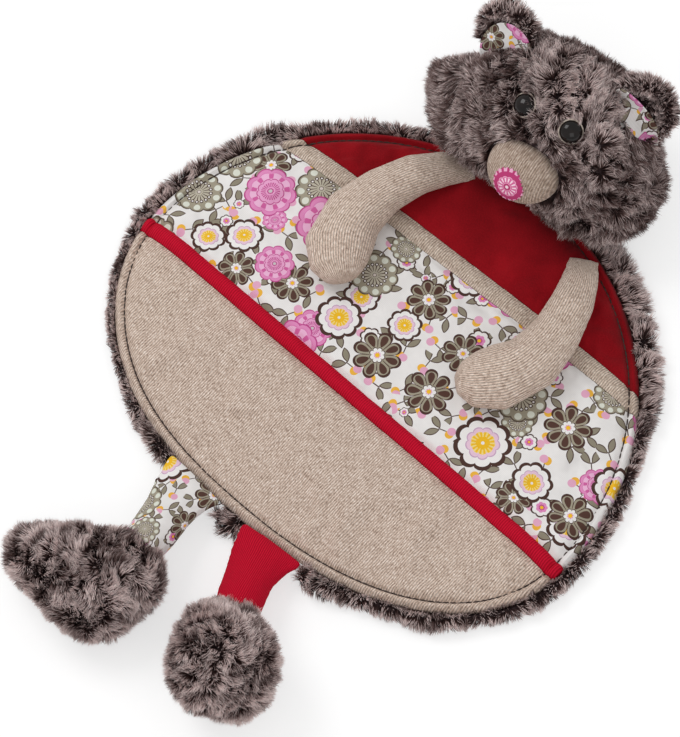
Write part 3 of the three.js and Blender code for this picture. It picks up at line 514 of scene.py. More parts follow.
def print_cloth(name, shift, size=1.0):
    """White plain-weave cotton with the print moved by shift millimetres."""
    material, tree, shader = new_material(name)
    cloth = add(tree, "UVMap", uv_map="cloth").outputs[0]
    place = add(tree, "Mapping", {"Vector": cloth, "Scale": (1000 / size,) * 3,
                                  "Location": (shift[0], shift[1], 0)}).outputs[0]
    flowers = add(tree, "Group", node_tree=flower_print)
    tree.links.new(place, flowers.inputs[0])
    warp, weft = (add(tree, "TexWave", {"Vector": place, "Scale": WAVE_OF_1_MM / WEAVE_MM * size},
                      bands_direction=way).outputs["Fac"] for way in ("X", "Y"))
    weave = work_out(tree, "MULTIPLY", warp, weft)
    shade = add(tree, "MapRange", {0: weave, 3: 0.93, 4: 1.02}).outputs[0]
    crease = add(tree, "TexNoise", {"Vector": place, "Scale": 0.08 * size, "Detail": 3, "Distortion": 0.6})
    relief = add(tree, "Bump", {"Height": crease.outputs[0], "Strength": 0.5, "Distance": 0.002})
    fine = add(tree, "Bump", {"Height": weave, "Strength": 0.25, "Distance": 0.0002,
                              "Normal": relief.outputs[0]})
    dress(tree, shader, shaded(tree, flowers.outputs[0], shade), fine, 0.85, 0.3)
    return material


band_print = print_cloth("printed_cotton_band", (0, 0))
leg_print = print_cloth("printed_cotton_leg", (40, 15), 0.9)
ear_print = print_cloth("printed_cotton_ears", (11, 70), 0.9)
print("prints ready")

# %% [markdown]
# Small helpers for making pieces by hand. Only the piece in work may be selected,
# because every operator acts on all that is selected. Points are read and written as
# one array in millimetres, which is how the toy was measured.

# %% Helpers for pieces
def only(piece):
    """Select one piece and nothing else."""
    for other in bpy.context.selected_objects:
        other.select_set(False)
    piece.select_set(True)
    bpy.context.view_layer.objects.active = piece
    return piece


def take(name, material):
    """Name the piece that was just made and give it its material."""
    piece = bpy.context.object
    piece.name = name
    piece.data.name = name
    piece.data.materials.clear()
    piece.data.materials.append(material)
    return only(piece)


def copy_as(name, source, material):
    """A copy of a piece with a mesh of its own."""
    piece = bpy.data.objects.new(name, source.data.copy())
    bpy.context.collection.objects.link(piece)
    only(piece)
    return take(name, material)


def points(piece):
    """The piece's points in millimetres."""
    flat = np.empty(len(piece.data.vertices) * 3, np.float32)
    piece.data.vertices.foreach_get("co", flat)
    return flat.reshape(-1, 3).astype(float) / MM


def move_points(piece, places):
    """Put the piece's points at these places in millimetres."""
    piece.data.vertices.foreach_set("co", (places * MM).astype(np.float32).ravel())
    piece.data.update()


def map_cloth(piece, flat):
    """Store each point's place on the flat cloth, in metres, as the map named cloth."""
    layer = piece.data.uv_layers.new(name="cloth")
    corners = np.empty(len(piece.data.loops), np.int32)
    piece.data.loops.foreach_get("vertex_index", corners)
    layer.data.foreach_set("uv", (flat[corners] * MM).astype(np.float32).ravel())


def settle(piece, body, slot, *nodes):
    """Let the piece ride on a body and hide the CAD nodes it stands for. The slot is not used."""
    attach(piece, body)
    if nodes:
        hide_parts(*nodes)
    return piece


def smooth(piece, degrees=60):
    """Shade the piece smooth, apart from edges sharper than an angle."""
    only(piece)
    bpy.ops.object.shade_smooth_by_angle(angle=math.radians(degrees))


def divide_once(piece):
    """One level of subdivision, applied."""
    only(piece)
    finer = piece.modifiers.new("finer", "SUBSURF")
    finer.levels = finer.render_levels = 1
    bpy.ops.object.modifier_apply(modifier="finer")


def give_thickness(piece, thick_mm=0.6):
    """A wall on the inner side of a sheet."""
    only(piece)
    wall = piece.modifiers.new("wall", "SOLIDIFY")
    wall.thickness = thick_mm * MM
    wall.offset = -1
    bpy.ops.object.modifier_apply(modifier="wall")


def lengths(line):
    """How far along a line each of its points lies."""
    return np.concatenate([[0], np.cumsum(np.linalg.norm(np.diff(line, axis=0), axis=1))])


print("piece helpers ready")

# %% [markdown]
# Stuffed cloth is round because the filling pushes it out and the thread holds it back.
# Blender's cloth simulation does the same: pressure swells the skin for twenty frames,
# and points in a named group stay where they are. How far a point may move is limited,
# so that the piece keeps its real size.

# %% Swelling
SWELL_FRAMES = 20


def puff(piece, most_mm, pressure=4.0, held=None, slack=0.0):
    """Swell a skin or a pinned sheet as cloth under pressure. No point moves past most_mm."""
    before = points(piece)
    cloth = piece.modifiers.new("cloth", "CLOTH")
    cloth.settings.use_pressure = True
    cloth.settings.uniform_pressure_force = pressure
    cloth.settings.shrink_min = -slack
    cloth.settings.effector_weights.gravity = 0
    if held:
        cloth.settings.vertex_group_mass = held
    for number in range(1, SWELL_FRAMES + 1):
        bpy.context.scene.frame_set(number)
    only(piece)
    bpy.ops.object.modifier_apply(modifier="cloth")
    bpy.context.scene.frame_set(1)
    step = points(piece) - before
    far = np.linalg.norm(step, axis=1, keepdims=True)
    move_points(piece, before + step * np.minimum(1, most_mm / np.maximum(far, 1e-9)))
    print(piece.name, "swelled by up to", round(float(min(far.max(), most_mm)), 2), "mm")


print("swelling ready")

# %% [markdown]
# The front of the blanket is five strips sewn edge to edge, with batting behind. It is
# made as one sheet first, so that the strips meet exactly. A grid is bent to the round
# outline, swelled as cloth that is held along its seams, and divided once. Each strip
# is then a copy that is cut at its seams.

# %% The front as one sheet
FRONT_RADIUS = 118
FRONT_DROP = 74
SQUARENESS = 2.2
FRONT_EDGE_HEIGHT = 7.5
CROWN_HEIGHT = 5.5
CROWN_RUN = 26
STITCH_INSET = 4.2
LEFT_SIDE = -162


def drawn_in_left(x, y):
    """The front is drawn in a little on its left: more than 1 there and 1 elsewhere."""
    turned = np.degrees(np.arctan2(y, x)) - LEFT_SIDE
    turned = (turned + 180) % 360 - 180
    return 1 + 0.035 * np.exp(-(turned / 21) ** 2)


def reach(x, y):
    """0 at the middle of the front and 1 on its edge."""
    lower = np.abs(x / FRONT_RADIUS) ** SQUARENESS + np.abs(y / FRONT_DROP) ** SQUARENESS
    share = np.where(y >= 0, np.hypot(x, y) / FRONT_RADIUS, lower ** (1 / SQUARENESS))
    return share * drawn_in_left(x, y)


def to_edge(x, y):
    """How far it is to the edge of the front, straight out from the middle."""
    far = np.maximum(np.hypot(x, y), 0.001)
    return far / np.maximum(reach(x, y), far / 200) - far


def front_height(x, y):
    """Height of the padded front at a place."""
    run = np.clip(to_edge(x, y) / CROWN_RUN, 0, 1)
    return FRONT_EDGE_HEIGHT + CROWN_HEIGHT * (1 - (1 - run) ** 2)


bpy.ops.mesh.primitive_grid_add(x_subdivisions=116, y_subdivisions=100, size=2)
front = take("front_sheet", beige_knit)
square = points(front) * MM
disc_x = square[:, 0] * np.sqrt(1 - square[:, 1] ** 2 / 2)
disc_y = square[:, 1] * np.sqrt(1 - square[:, 0] ** 2 / 2)
grow = np.hypot(disc_x, disc_y) / np.maximum(reach(disc_x, disc_y), 1e-9)
plan = np.stack([disc_x * grow, disc_y * grow], axis=1)
plan[np.hypot(disc_x, disc_y) < 1e-6] = 0
move_points(front, np.column_stack([plan, front_height(plan[:, 0], plan[:, 1])]))
print("front", len(plan), "points")

# %% [markdown]
# A sewn sheet is held by its thread and puffs up between. Points near a seam, on the
# edge and on the topstitched line are pinned, and the rest may rise and shift. The
# cloth is a little larger than the space it fills, which gives the soft ripples.

# %% Swell the front between its seams
SEAMS = [(-7.5, 0.0), (-0.5, 0.0), (65.2, 0.047), (73.4, 0.047)]


def seam_gap(x, y):
    """Distance to the nearest seam across the front, each a height at X = 0 and a slope."""
    return np.min([np.abs(y - base - slope * x) for base, slope in SEAMS], axis=0)


def press_seams(x, y):
    """How far the thread pulls the cloth down at a place."""
    across = 1.1 * np.exp(-(seam_gap(x, y) / 1.5) ** 2)
    along = 1.5 * np.exp(-((to_edge(x, y) - STITCH_INSET) / 1.1) ** 2)
    return across + along


edge_run, seam_run = to_edge(*plan.T), seam_gap(*plan.T)
sewn = (edge_run < 1.5) | (np.abs(edge_run - STITCH_INSET) < 1.3) | (seam_run < 1.3)
group = front.vertex_groups.new(name="sewn")
group.add([int(k) for k in np.flatnonzero(sewn)], 1.0, "REPLACE")
puff(front, 1.3, pressure=3.0, held="sewn", slack=0.04)
front.vertex_groups.clear()
divide_once(front)
lay = points(front)
lay[:, 2] -= press_seams(lay[:, 0], lay[:, 1])
welt = np.clip(to_edge(lay[:, 0], lay[:, 1]) / STITCH_INSET, 0, 1)
lay[:, 2] += 0.9 * np.sin(math.pi * welt) - 1.2 * (1 - welt) ** 3
move_points(front, lay)
print("front rises to", round(float(lay[:, 2].max()), 1), "mm")

# %% [markdown]
# Loose polyester fibre is white, faintly mottled and quite matt. Several plain finishes
# here are like it, one colour that wanders a little, so one function makes them all.
# The batting is a pad of that fibre. It follows the front, a little smaller.

# %% Loose fibre and the batting
def mottled(name, codes, scale, detail=2, starts=0.3, relief=False, **levels):
    """A finish whose colour wanders between two, in spots about 1/scale metres wide."""
    material, tree, shader = new_material(name)
    place = add(tree, "TexCoord").outputs["Object"]
    spots = add(tree, "TexNoise", {"Vector": place, "Scale": scale, "Detail": detail}).outputs[0]
    colour = stops(tree, spots, [(starts, codes[0]), (0.7, codes[1])])
    bump = None
    if relief:
        bump = add(tree, "Bump", {"Height": spots, "Strength": 0.4, "Distance": 0.0005})
    dress(tree, shader, colour, bump, **levels)
    return material


fibre = mottled("loose_polyester_fibre", ("#DEDCD6", "#F6F4F0"), 250, 5, relief=True, rough=1.0)
batting = copy_as("batting_pad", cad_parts["batting"], fibre)
fill = points(batting)
fill[:, :2] *= 0.975 / drawn_in_left(fill[:, 0], fill[:, 1])[:, None]
move_points(batting, fill)
settle(batting, "blanket", "white_batting", "batting")
print(batting.name, "is", np.round(np.ptp(fill, axis=0)), "mm")

# %% [markdown]
# Each strip is a copy of the front, cut along its two seams. The cut edge is drawn
# down by an extrude, as a seam allowance turns under, and Solidify gives the cloth its
# thickness on the inside. The flat area of the cut is summed from the mesh.

# %% Cut the strips
SEAM_GAP = 0.12
HEM = 1.7


def strip(name, material, low, high, rise=None):
    """A strip of the front between two seams, each a height at X = 0 and a slope."""
    piece = copy_as(name, front, material)
    bpy.ops.object.mode_set(mode="EDIT")
    for seam, side in ((low, 1), (high, -1)):
        if seam is None:
            continue
        base, slope = seam
        bpy.ops.mesh.select_all(action="SELECT")
        bpy.ops.mesh.bisect(plane_co=(0, (base + side * SEAM_GAP) * MM, 0), plane_no=(-slope, 1, 0),
                            clear_inner=side > 0, clear_outer=side < 0)
    bpy.ops.object.mode_set(mode="OBJECT")
    lay = points(piece)
    if rise is not None:
        lay[:, 2] += rise(lay[:, 0], lay[:, 1])
        move_points(piece, lay)
    map_cloth(piece, lay[:, :2])
    bpy.ops.object.mode_set(mode="EDIT")
    bpy.ops.mesh.select_all(action="DESELECT")
    bpy.ops.mesh.select_mode(type="EDGE")
    bpy.ops.mesh.select_non_manifold()
    bpy.ops.mesh.extrude_region_move(TRANSFORM_OT_translate={"value": (0, 0, -HEM * MM)})
    bpy.ops.object.mode_set(mode="OBJECT")
    area = sum(face.area for face in piece.data.polygons)
    give_thickness(piece)
    smooth(piece, 50)
    wide, long = np.ptp(lay[:, 0]) * MM, (np.ptp(lay[:, 1]) + 2 * HEM) * MM
    print(name, len(piece.data.polygons), "faces,", round(area * 1e4, 1), "square cm")
    return piece, wide, max(long, 1.001 * area / wide), area


def tape_rise(x, y):
    """The tape stands proud of the seam, rounded across its 7 mm."""
    share = np.clip(np.abs(y + 4.0) / 3.5, 0, 1)
    return 0.35 + 1.6 * np.sqrt(1 - share ** 3)


STRIPS = [
    ("lower_panel", beige_knit, None, SEAMS[0], None, "beige_knit"),
    ("ribbed_tape", crimson_rib, SEAMS[0], SEAMS[1], tape_rise, "crimson_rib"),
    ("floral_band", band_print, SEAMS[1], SEAMS[2], None, "floral_cotton"),
    ("knit_band", greige_knit, SEAMS[2], SEAMS[3], None, "greige_knit"),
    ("top_panel", red_velour, SEAMS[3], None, None, "red_velour"),
]
for node, cloth, low, high, rise, slot in STRIPS:
    piece, wide, long, area = strip(node + "_cloth", cloth, low, high, rise)
    settle(piece, "blanket", slot, node)
bpy.data.objects.remove(front)

# %% [markdown]
# One line of dark thread runs round the front, 4.2 mm inside its edge. A stitch is a
# short rounded bar with its ends dipping into the cloth. One is modelled from a
# cylinder, and copies of its mesh are laid along the line and joined into one piece.

# %% One stitch
thread = mottled("dark_polyester_thread", ("#231512", "#3E2B24"), 900, rough=0.7)
STITCH_LONG = 3.0
STITCH_STEP = 3.1
STITCH_RADIUS = 0.34

bpy.ops.mesh.primitive_cylinder_add(vertices=6, radius=STITCH_RADIUS * MM, depth=STITCH_LONG * MM,
                                    rotation=(0, math.pi / 2, 0), end_fill_type="NGON")
stitch = take("stitch", thread)
bpy.ops.object.transform_apply(location=True, rotation=True, scale=True)
bpy.ops.object.mode_set(mode="EDIT")
bpy.ops.mesh.select_all(action="SELECT")
bpy.ops.mesh.subdivide(number_cuts=2)
bpy.ops.object.mode_set(mode="OBJECT")
bar = points(stitch)
bar[:, 2] -= 0.35 * (np.abs(bar[:, 0]) / (STITCH_LONG / 2)) ** 3
move_points(stitch, bar)
print("a stitch has", len(bar), "points")

# %% [markdown]
# A machine makes its stitches equal. The line is measured first, and a whole number of
# steps is fitted round it. Each stitch is turned to the line and set at the height to
# which the thread has pulled the cloth.

# %% Topstitching
turns = np.linspace(0, 2 * math.pi, 4001)
line_x, line_y = np.cos(turns), np.sin(turns)
out = np.hypot(line_x, line_y) / reach(line_x, line_y) - STITCH_INSET
line = np.column_stack([line_x * out, line_y * out])
run = lengths(line)
count = int(round(run[-1] / STITCH_STEP))
stitches = []
for k in range(count):
    here, ahead = ([np.interp((k + share) * run[-1] / count, run, line[:, axis]) for axis in (0, 1)]
                   for share in (0.5, 0.6))
    heading = math.atan2(ahead[1] - here[1], ahead[0] - here[0])
    x, y = map(np.asarray, here)
    height = float(front_height(x, y) - press_seams(x, y)) + 0.3
    made = copy_as("stitch", stitch, thread)
    made.data.transform(Matrix.Translation(Vector((here[0], here[1], height)) * MM)
                        @ Matrix.Rotation(heading, 4, "Z"))
    stitches.append(made)
only(stitches[0])
for made in stitches:
    made.select_set(True)
bpy.ops.object.join()
topstitch = take("topstitching", thread)
smooth(topstitch)
settle(topstitch, "blanket", "brown_fur")
bpy.data.objects.remove(stitch)
print(count, "stitches round", round(float(run[-1])), "mm")

# %% [markdown]
# The stuffed limbs are sewn tubes. Their covers start from the outer wall of the CAD
# piece, whose copy is merged and remeshed into small even faces. The inner wall is
# left out, by the faces that look at the stuffing from close by. The skin is then
# swelled as cloth, so that it draws tight like a filled tube.

# %% Padded skins
from mathutils.bvhtree import BVHTree


def outer_skin(node, name, material, voxel_mm, filling=None):
    """The outer wall of a CAD piece, copied, merged and remeshed into small even faces."""
    skin = copy_as(name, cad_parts[node], material)
    bpy.ops.object.mode_set(mode="EDIT")
    bpy.ops.mesh.select_all(action="SELECT")
    bpy.ops.mesh.remove_doubles(threshold=0.01 * MM)
    bpy.ops.mesh.select_all(action="DESELECT")
    bpy.ops.object.mode_set(mode="OBJECT")
    inside = 0
    if filling:
        stuffed = BVHTree.FromObject(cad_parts[filling], bpy.context.evaluated_depsgraph_get())
        for face in skin.data.polygons:
            face.select = stuffed.ray_cast(face.center, face.normal, 1.5 * MM)[0] is not None
            inside += face.select
        bpy.ops.object.mode_set(mode="EDIT")
        bpy.ops.mesh.select_mode(type="FACE")
        bpy.ops.mesh.delete(type="FACE")
        bpy.ops.mesh.select_all(action="SELECT")
        bpy.ops.mesh.fill_holes(sides=0)
        bpy.ops.mesh.normals_make_consistent(inside=False)
        bpy.ops.object.mode_set(mode="OBJECT")
    skin.data.remesh_voxel_size = voxel_mm * MM
    bpy.ops.object.voxel_remesh()
    print(name, len(skin.data.polygons), "faces,", inside, "inner faces left out")
    return skin


def outward(piece):
    """The skin's outward direction at each point."""
    normals = np.empty(len(piece.data.vertices) * 3, np.float32)
    piece.data.vertices.foreach_get("normal", normals)
    return normals.reshape(-1, 3).astype(float)


def relax(piece, times=6, sink=0.15):
    """Even out the facets of a remeshed skin. No point sinks deeper than sink millimetres."""
    before, out = points(piece), outward(piece)
    only(piece)
    ease = piece.modifiers.new("ease", "SMOOTH")
    ease.factor = 0.5
    ease.iterations = times
    bpy.ops.object.modifier_apply(modifier="ease")
    step = points(piece) - before
    sunk = np.minimum((step * out).sum(1) + sink, 0)
    move_points(piece, before + step - out * sunk[:, None])


def grow_skin(piece, by_mm):
    """Move every point of a closed skin outward, or inward if by_mm is negative."""
    move_points(piece, points(piece) + outward(piece) * by_mm)


print("skin helpers ready")

# %% [markdown]
# A remeshed skin has no map, so the cloth's own directions, round the tube and along
# it, are worked out from the middle line of the limb. The line is a smooth curve
# through a few stations. Where the map closes on itself, the last faces are moved by
# one girth, so that no pattern is squeezed backwards through them.

# %% A tube's cloth
def curve_through(stations, count=80):
    """Points spaced evenly along a smooth curve through the stations."""
    ends = [2 * stations[0] - stations[1], *stations, 2 * stations[-1] - stations[-2]]
    made = []
    for a, b, c, d in zip(ends, ends[1:], ends[2:], ends[3:]):
        for t in np.linspace(0, 1, 24, endpoint=False):
            made.append(0.5 * (2 * b + (c - a) * t + (2 * a - 5 * b + 4 * c - d) * t * t
                               + (3 * b - a - 3 * c + d) * t ** 3))
    made = np.array([*made, stations[-1]])
    far = lengths(made)
    even = np.linspace(0, far[-1], count)
    return np.column_stack([np.interp(even, far, made[:, k]) for k in range(3)])


def wrap_cloth(piece, route, sides=48):
    """Map a tube of cloth: round it in the first direction and along its route in the second."""
    where = points(piece)
    steps = np.diff(route, axis=0)
    near = np.argmin(((where[:, None, :] - route[None, :-1, :]) ** 2).sum(2), axis=1)
    ahead = steps[near] / np.linalg.norm(steps[near], axis=1, keepdims=True)
    off = where - route[near]
    along = lengths(route)[near] + (off * ahead).sum(1)
    side = np.cross(ahead, [0, 0, 1])
    side /= np.linalg.norm(side, axis=1, keepdims=True)
    across, up = (off * side).sum(1), (off * np.cross(side, ahead)).sum(1)
    angle = np.arctan2(across, up)
    marks = np.linspace(-math.pi, math.pi, sides + 1)
    slot = np.clip(np.digitize(angle, marks) - 1, 0, sides - 1)
    size = np.array([np.hypot(across, up)[slot == k].mean() for k in range(sides)])
    middle = (marks[:-1] + marks[1:]) / 2
    ring = np.column_stack([size * np.sin(middle), size * np.cos(middle)])
    step = np.linalg.norm(ring - np.roll(ring, 1, axis=0), axis=1)
    girth = step.sum()
    round_it = np.interp(angle, marks, np.concatenate([[0], np.cumsum(step)])) - girth / 2
    map_cloth(piece, np.column_stack([round_it, along]))
    layer = piece.data.uv_layers["cloth"]
    for face in piece.data.polygons:
        turn = [layer.data[k].uv[0] for k in face.loop_indices]
        if max(turn) - min(turn) > girth / 2 * MM:
            for k in face.loop_indices:
                if layer.data[k].uv[0] < 0:
                    layer.data[k].uv[0] += girth * MM


print("tube helpers ready")

# %% [markdown]
# Each arm is a long stuffed tube of the same beige knit, thin where it goes under the
# cheek, thicker towards the round hand, and bowed towards the middle of the front. Its
# ribs run along it.

# %% Arms
ARM_STATIONS = [(32, 107, 12), (41.5, 90.5, 15), (48.5, 67, 21), (48, 46, 23), (40, 33.5, 23),
                (31.5, 27, 22)]
for side, sign in (("left", -1), ("right", 1)):
    arm = outer_skin(side + "_arm_cover", side + "_arm_knit", beige_knit, 2.0, side + "_arm_stuffing")
    relax(arm, 8, sink=0.0)
    puff(arm, 1.2)
    divide_once(arm)
    route = curve_through(np.array([(sign * x, y, z) for x, y, z in ARM_STATIONS], float))
    wrap_cloth(arm, route)
    smooth(arm, 180)
    settle(arm, side + "_arm", "beige_knit", side + "_arm_cover")
    print(arm.name, len(arm.data.polygons), "faces")

# %% [markdown]
# A leg is flat, so its cloth is mapped from above, across it and along it. On its sides
# the map follows the cloth down, so that the ribs stay lines there. The loose fibre
# inside a piece is a copy of the CAD stuffing. It is drawn in wherever the skin over it
# lies deeper than the CAD cover did, so that no white shows through.

# %% A leg's cloth and the loose fibre
BAND_MM = 3


def lay_flat_on(piece, start, end):
    """Map a flat tube across it and down its sides, and along it from start to end."""
    start, end = np.array(start[:2], float), np.array(end[:2], float)
    ahead = (end - start) / np.linalg.norm(end - start)
    place = points(piece)
    off = place[:, :2] - start
    across, along = off @ np.array([ahead[1], -ahead[0]]), off @ ahead
    marks = np.arange(along.min(), along.max() + BAND_MM, BAND_MM)
    tops = [place[np.abs(along - mark) < BAND_MM, 2].max() for mark in marks]
    depth = np.maximum(np.interp(along, marks, tops) - place[:, 2] - 0.4, 0)
    map_cloth(piece, np.column_stack([across + np.tanh(across / 4) * depth * 0.8, along]))


def tree_of(piece):
    """A search tree of a piece's faces, in millimetres."""
    faces = [tuple(face.vertices) for face in piece.data.polygons]
    return BVHTree.FromPolygons(points(piece).tolist(), faces)


def tuck_in(node, skin, body, keep_mm=2.2, voxel_mm=2.4):
    """The stuffing of a piece, drawn in wherever the skin over it was drawn in."""
    loose = outer_skin(node, node.replace("stuffing", "loose_fibre"), fibre, voxel_mm)
    tree, place = tree_of(skin), points(loose)
    moved = 0
    for k, spot in enumerate(place):
        near, way = tree.find_nearest(Vector(spot))[:2]
        if (near - Vector(spot)).dot(way) < keep_mm:
            place[k] = near - way * keep_mm
            moved += 1
    move_points(loose, place)
    settle(loose, body, "white_stuffing", node)
    print(loose.name, moved, "of", len(place), "points tucked in")


print("leg helpers ready")

# %% [markdown]
# The legs are short tubes, sewn flat into the lower edge and round at the ankle. One
# is cut from the printed cotton and the other from the crimson rib.

# %% Legs
LEG_ENDS = {"left": ((-19.7, -74), (-13, -116)), "right": ((23.2, -74), (36.5, -110.5))}
for side, material, slot in (("left", leg_print, "floral_cotton"), ("right", crimson_rib, "crimson_rib")):
    leg = outer_skin(side + "_leg_cover", side + "_leg_cloth", material, 1.6, side + "_leg_stuffing")
    relax(leg, 8, sink=0.0)
    grow_skin(leg, 0.2)
    puff(leg, 0.8)
    divide_once(leg)
    lay_flat_on(leg, *LEG_ENDS[side])
    smooth(leg, 180)
    settle(leg, side + "_leg", slot, side + "_leg_cover")
    tuck_in(side + "_leg_stuffing", leg, side + "_leg", 0.5, 1.2)
    print(leg.name, len(leg.data.polygons), "faces")

# %% [markdown]
# The head has its own axes: across the face, up to the crown and forward out of the
# face, which is turned 10 degrees and tilted 55 degrees down from straight up. The
# small parts of the face are made in those axes, in millimetres, and then placed.

# %% Axes of the head
HEAD_TURN = math.radians(10)
FACE_TILT = math.radians(55)
HEAD_CENTRE = Vector((-10, 137, 37.125))
head_across = Vector((math.cos(HEAD_TURN), math.sin(HEAD_TURN), 0))
head_down = Vector((math.sin(HEAD_TURN), -math.cos(HEAD_TURN), 0))
head_forward = head_down * math.sin(FACE_TILT) + Vector((0, 0, math.cos(FACE_TILT)))
head_up = head_forward.cross(head_across)
head_axes = Matrix([[*row] for row in zip(head_across, head_up, head_forward)])
head_pose = Matrix.Translation(HEAD_CENTRE * MM) @ head_axes.to_4x4()


def place_in_head(piece, centre, forward=(0, 0, 1), turn=0.0):
    """Put a piece made at the origin onto the head, its Z along a direction of the head."""
    aim = Vector(forward).to_track_quat("Z", "Y").to_matrix().to_4x4()
    piece.data.transform(head_pose @ Matrix.Translation(Vector(centre) * MM) @ aim
                         @ Matrix.Rotation(turn, 4, "Z"))
    return piece


print("face looks along", [round(v, 2) for v in head_forward])

# %% [markdown]
# The muzzle is a stuffed ball of beige knit with slightly finer ribs that stands out of
# the fur. Its knit is coloured darker than the other beige, as painted shade from the
# head's fur over it. It is a sphere made a little wider below, like a chin.

# %% Muzzle
MUZZLE_CENTRE = Vector((1, -8.7, 30.56))
MUZZLE_RADII = (15.8, 13.4, 15.5)
bpy.ops.mesh.primitive_uv_sphere_add(segments=64, ring_count=40, radius=1)
muzzle = take("muzzle_shaded_knit", muzzle_shaded_knit)
ball = points(muzzle) * MM
low = np.clip(-ball[:, 1], 0, 1)
ball[:, 0] *= 1 + 0.05 * low
move_points(muzzle, ball * np.array(MUZZLE_RADII))
map_cloth(muzzle, points(muzzle)[:, :2])
place_in_head(muzzle, MUZZLE_CENTRE)
smooth(muzzle, 180)
settle(muzzle, "head", "beige_knit", "muzzle_cover")
print(muzzle.name, len(muzzle.data.polygons), "faces")

# %% [markdown]
# The nose is a round patch of printed cotton. Its print is one pink bloom with pale
# rays and a hem of fine threads, drawn by the same nodes as the flowers.

# %% Nose print
nose_print, nose_tree, nose_shader = new_material("printed_cotton_nose")
nose_place = on_cloth(nose_tree)
nose_x, nose_y, _ = add(nose_tree, "SeparateXYZ", {0: nose_place}).outputs
nose_out = add(nose_tree, "VectorMath", {0: nose_place}, operation="LENGTH").outputs["Value"]
nose_bed = {
    "angle": work_out(nose_tree, "ARCTAN2", nose_y, nose_x),
    "share": work_out(nose_tree, "DIVIDE", nose_out, 5.4),
}
nose_ink = bloom(nose_tree, nose_bed, 11, 0.1, 0.6, [
    (0.0, "#F7DCE6"), (0.14, "#B8336F"), (0.3, "#E79ABD"), (0.36, "#D6649A"), (0.8, "#EAA6C6"),
    (0.86, "#B8336F")])[0]
nose_ink = paint(nose_tree, nose_ink, "#F6D6E3", rays(nose_tree, nose_bed, 14, 0.75, 0.42, 0.74))
nose_ink = paint(nose_tree, nose_ink, "#E9A9C8", rays(nose_tree, nose_bed, 17, 0.6, 1.2, 2.0))
dress(nose_tree, nose_shader, nose_ink, rough=0.85)
print("nose print has", len(nose_tree.nodes), "nodes")

# %% [markdown]
# The patch is cut with pinking shears, which leave a zigzag edge that doesn't fray, and
# it is sewn to the front of the muzzle. It starts as a disc with rings inside it, so
# that it can bend over the ball, and is cut flatter on one side.

# %% Nose patch
NOSE_WIDE = 6.9
NOSE_TALL = 7.3
NOSE_TEETH = 24
FLATTER_AT = 0.75


def round_patch(name, material, shares=(0.93, 0.86, 0.7, 0.5, 0.3, 0.12)):
    """A flat disc of radius 1, with rings inside it, for a patch of cloth."""
    bpy.ops.mesh.primitive_circle_add(vertices=96, radius=1, fill_type="NGON")
    patch = take(name, material)
    bpy.ops.object.mode_set(mode="EDIT")
    bpy.ops.mesh.select_all(action="SELECT")
    for share in shares:
        bpy.ops.mesh.inset(thickness=0.0)
        bpy.ops.transform.resize(value=(share, share, 1))
    bpy.ops.object.mode_set(mode="OBJECT")
    return patch


nose = round_patch("nose_patch_cloth", nose_print)
flat = points(nose) * MM
angle = np.arctan2(flat[:, 1], flat[:, 0])
out = np.hypot(flat[:, 0], flat[:, 1])
tooth = np.abs(((angle / (2 * math.pi) * NOSE_TEETH) % 1) * 2 - 1)
pinked = 1 + 0.1 * tooth * np.clip(out * 8 - 7, 0, 1)
pinked = pinked * (1 - 0.2 * np.exp(-((angle - FLATTER_AT) / 0.6) ** 2))
flat_x = out * np.cos(angle) * (NOSE_WIDE * (1 + 0.14 * np.sin(angle))) * pinked
flat_y = out * np.sin(angle) * NOSE_TALL * pinked
bent = (flat_x / (MUZZLE_RADII[0] + 0.9)) ** 2 + (flat_y / (MUZZLE_RADII[1] + 0.9)) ** 2
lie = (MUZZLE_RADII[2] + 0.7) * np.sqrt(np.maximum(0, 1 - bent))
move_points(nose, np.column_stack([flat_x, flat_y, lie]))
map_cloth(nose, np.column_stack([flat_x, flat_y]))
give_thickness(nose)
place_in_head(nose, MUZZLE_CENTRE, (0.0, -0.1, 1), math.radians(-6))
smooth(nose, 50)
settle(nose, "head", "pink_nose", "nose_patch")
print(nose.name, len(nose.data.polygons), "faces")

# %% [markdown]
# Safety eyes are turned from black plastic with a high polish. Light falls on the edge
# of the dome in a pale crescent, so the eye is a thin pale rim, a painted highlight,
# with the dome seated in it.

# %% Eyes
EYE_RADIUS = 4.9
DOME_RISE = 3.6
eye_black = mottled("polished_black_plastic", ("#0B0807", "#1A1210"), 300, rough=0.08, specular=0.3)
# Painted highlight: a pale rim stands for light caught on the edge of the dome.
eye_rim_painted_highlight = mottled("pale_rim_painted_highlight", ("#9A8A7E", "#CFC2B4"), 500, rough=0.3)
for side, sign in (("left", -1), ("right", 1)):
    seat = (sign * 11.05 + 1.25, 16.7, 27.7), (sign * 0.2605, 0.454, 0.852)
    bpy.ops.mesh.primitive_uv_sphere_add(segments=48, ring_count=24, radius=EYE_RADIUS * MM)
    eye = take(side + "_eye_dome", eye_black)
    ball = points(eye)
    ball[:, 2] = np.where(ball[:, 2] > 0, ball[:, 2] * DOME_RISE / EYE_RADIUS, ball[:, 2] * 0.3) + 0.8
    move_points(eye, ball)
    bpy.ops.mesh.primitive_torus_add(major_radius=(EYE_RADIUS + 0.1) * MM, minor_radius=0.34 * MM,
                                     major_segments=48, minor_segments=8)
    ring = take(side + "_eye_rim_painted_highlight", eye_rim_painted_highlight)
    move_points(ring, points(ring) + np.array([0, 0, 1.0]))
    for piece in (eye, ring):
        place_in_head(piece, *seat)
        smooth(piece, 180)
    settle(eye, "head", "black_eye", side + "_eye")
    settle(ring, "head", "black_eye")
    print(eye.name, len(eye.data.polygons), "faces")

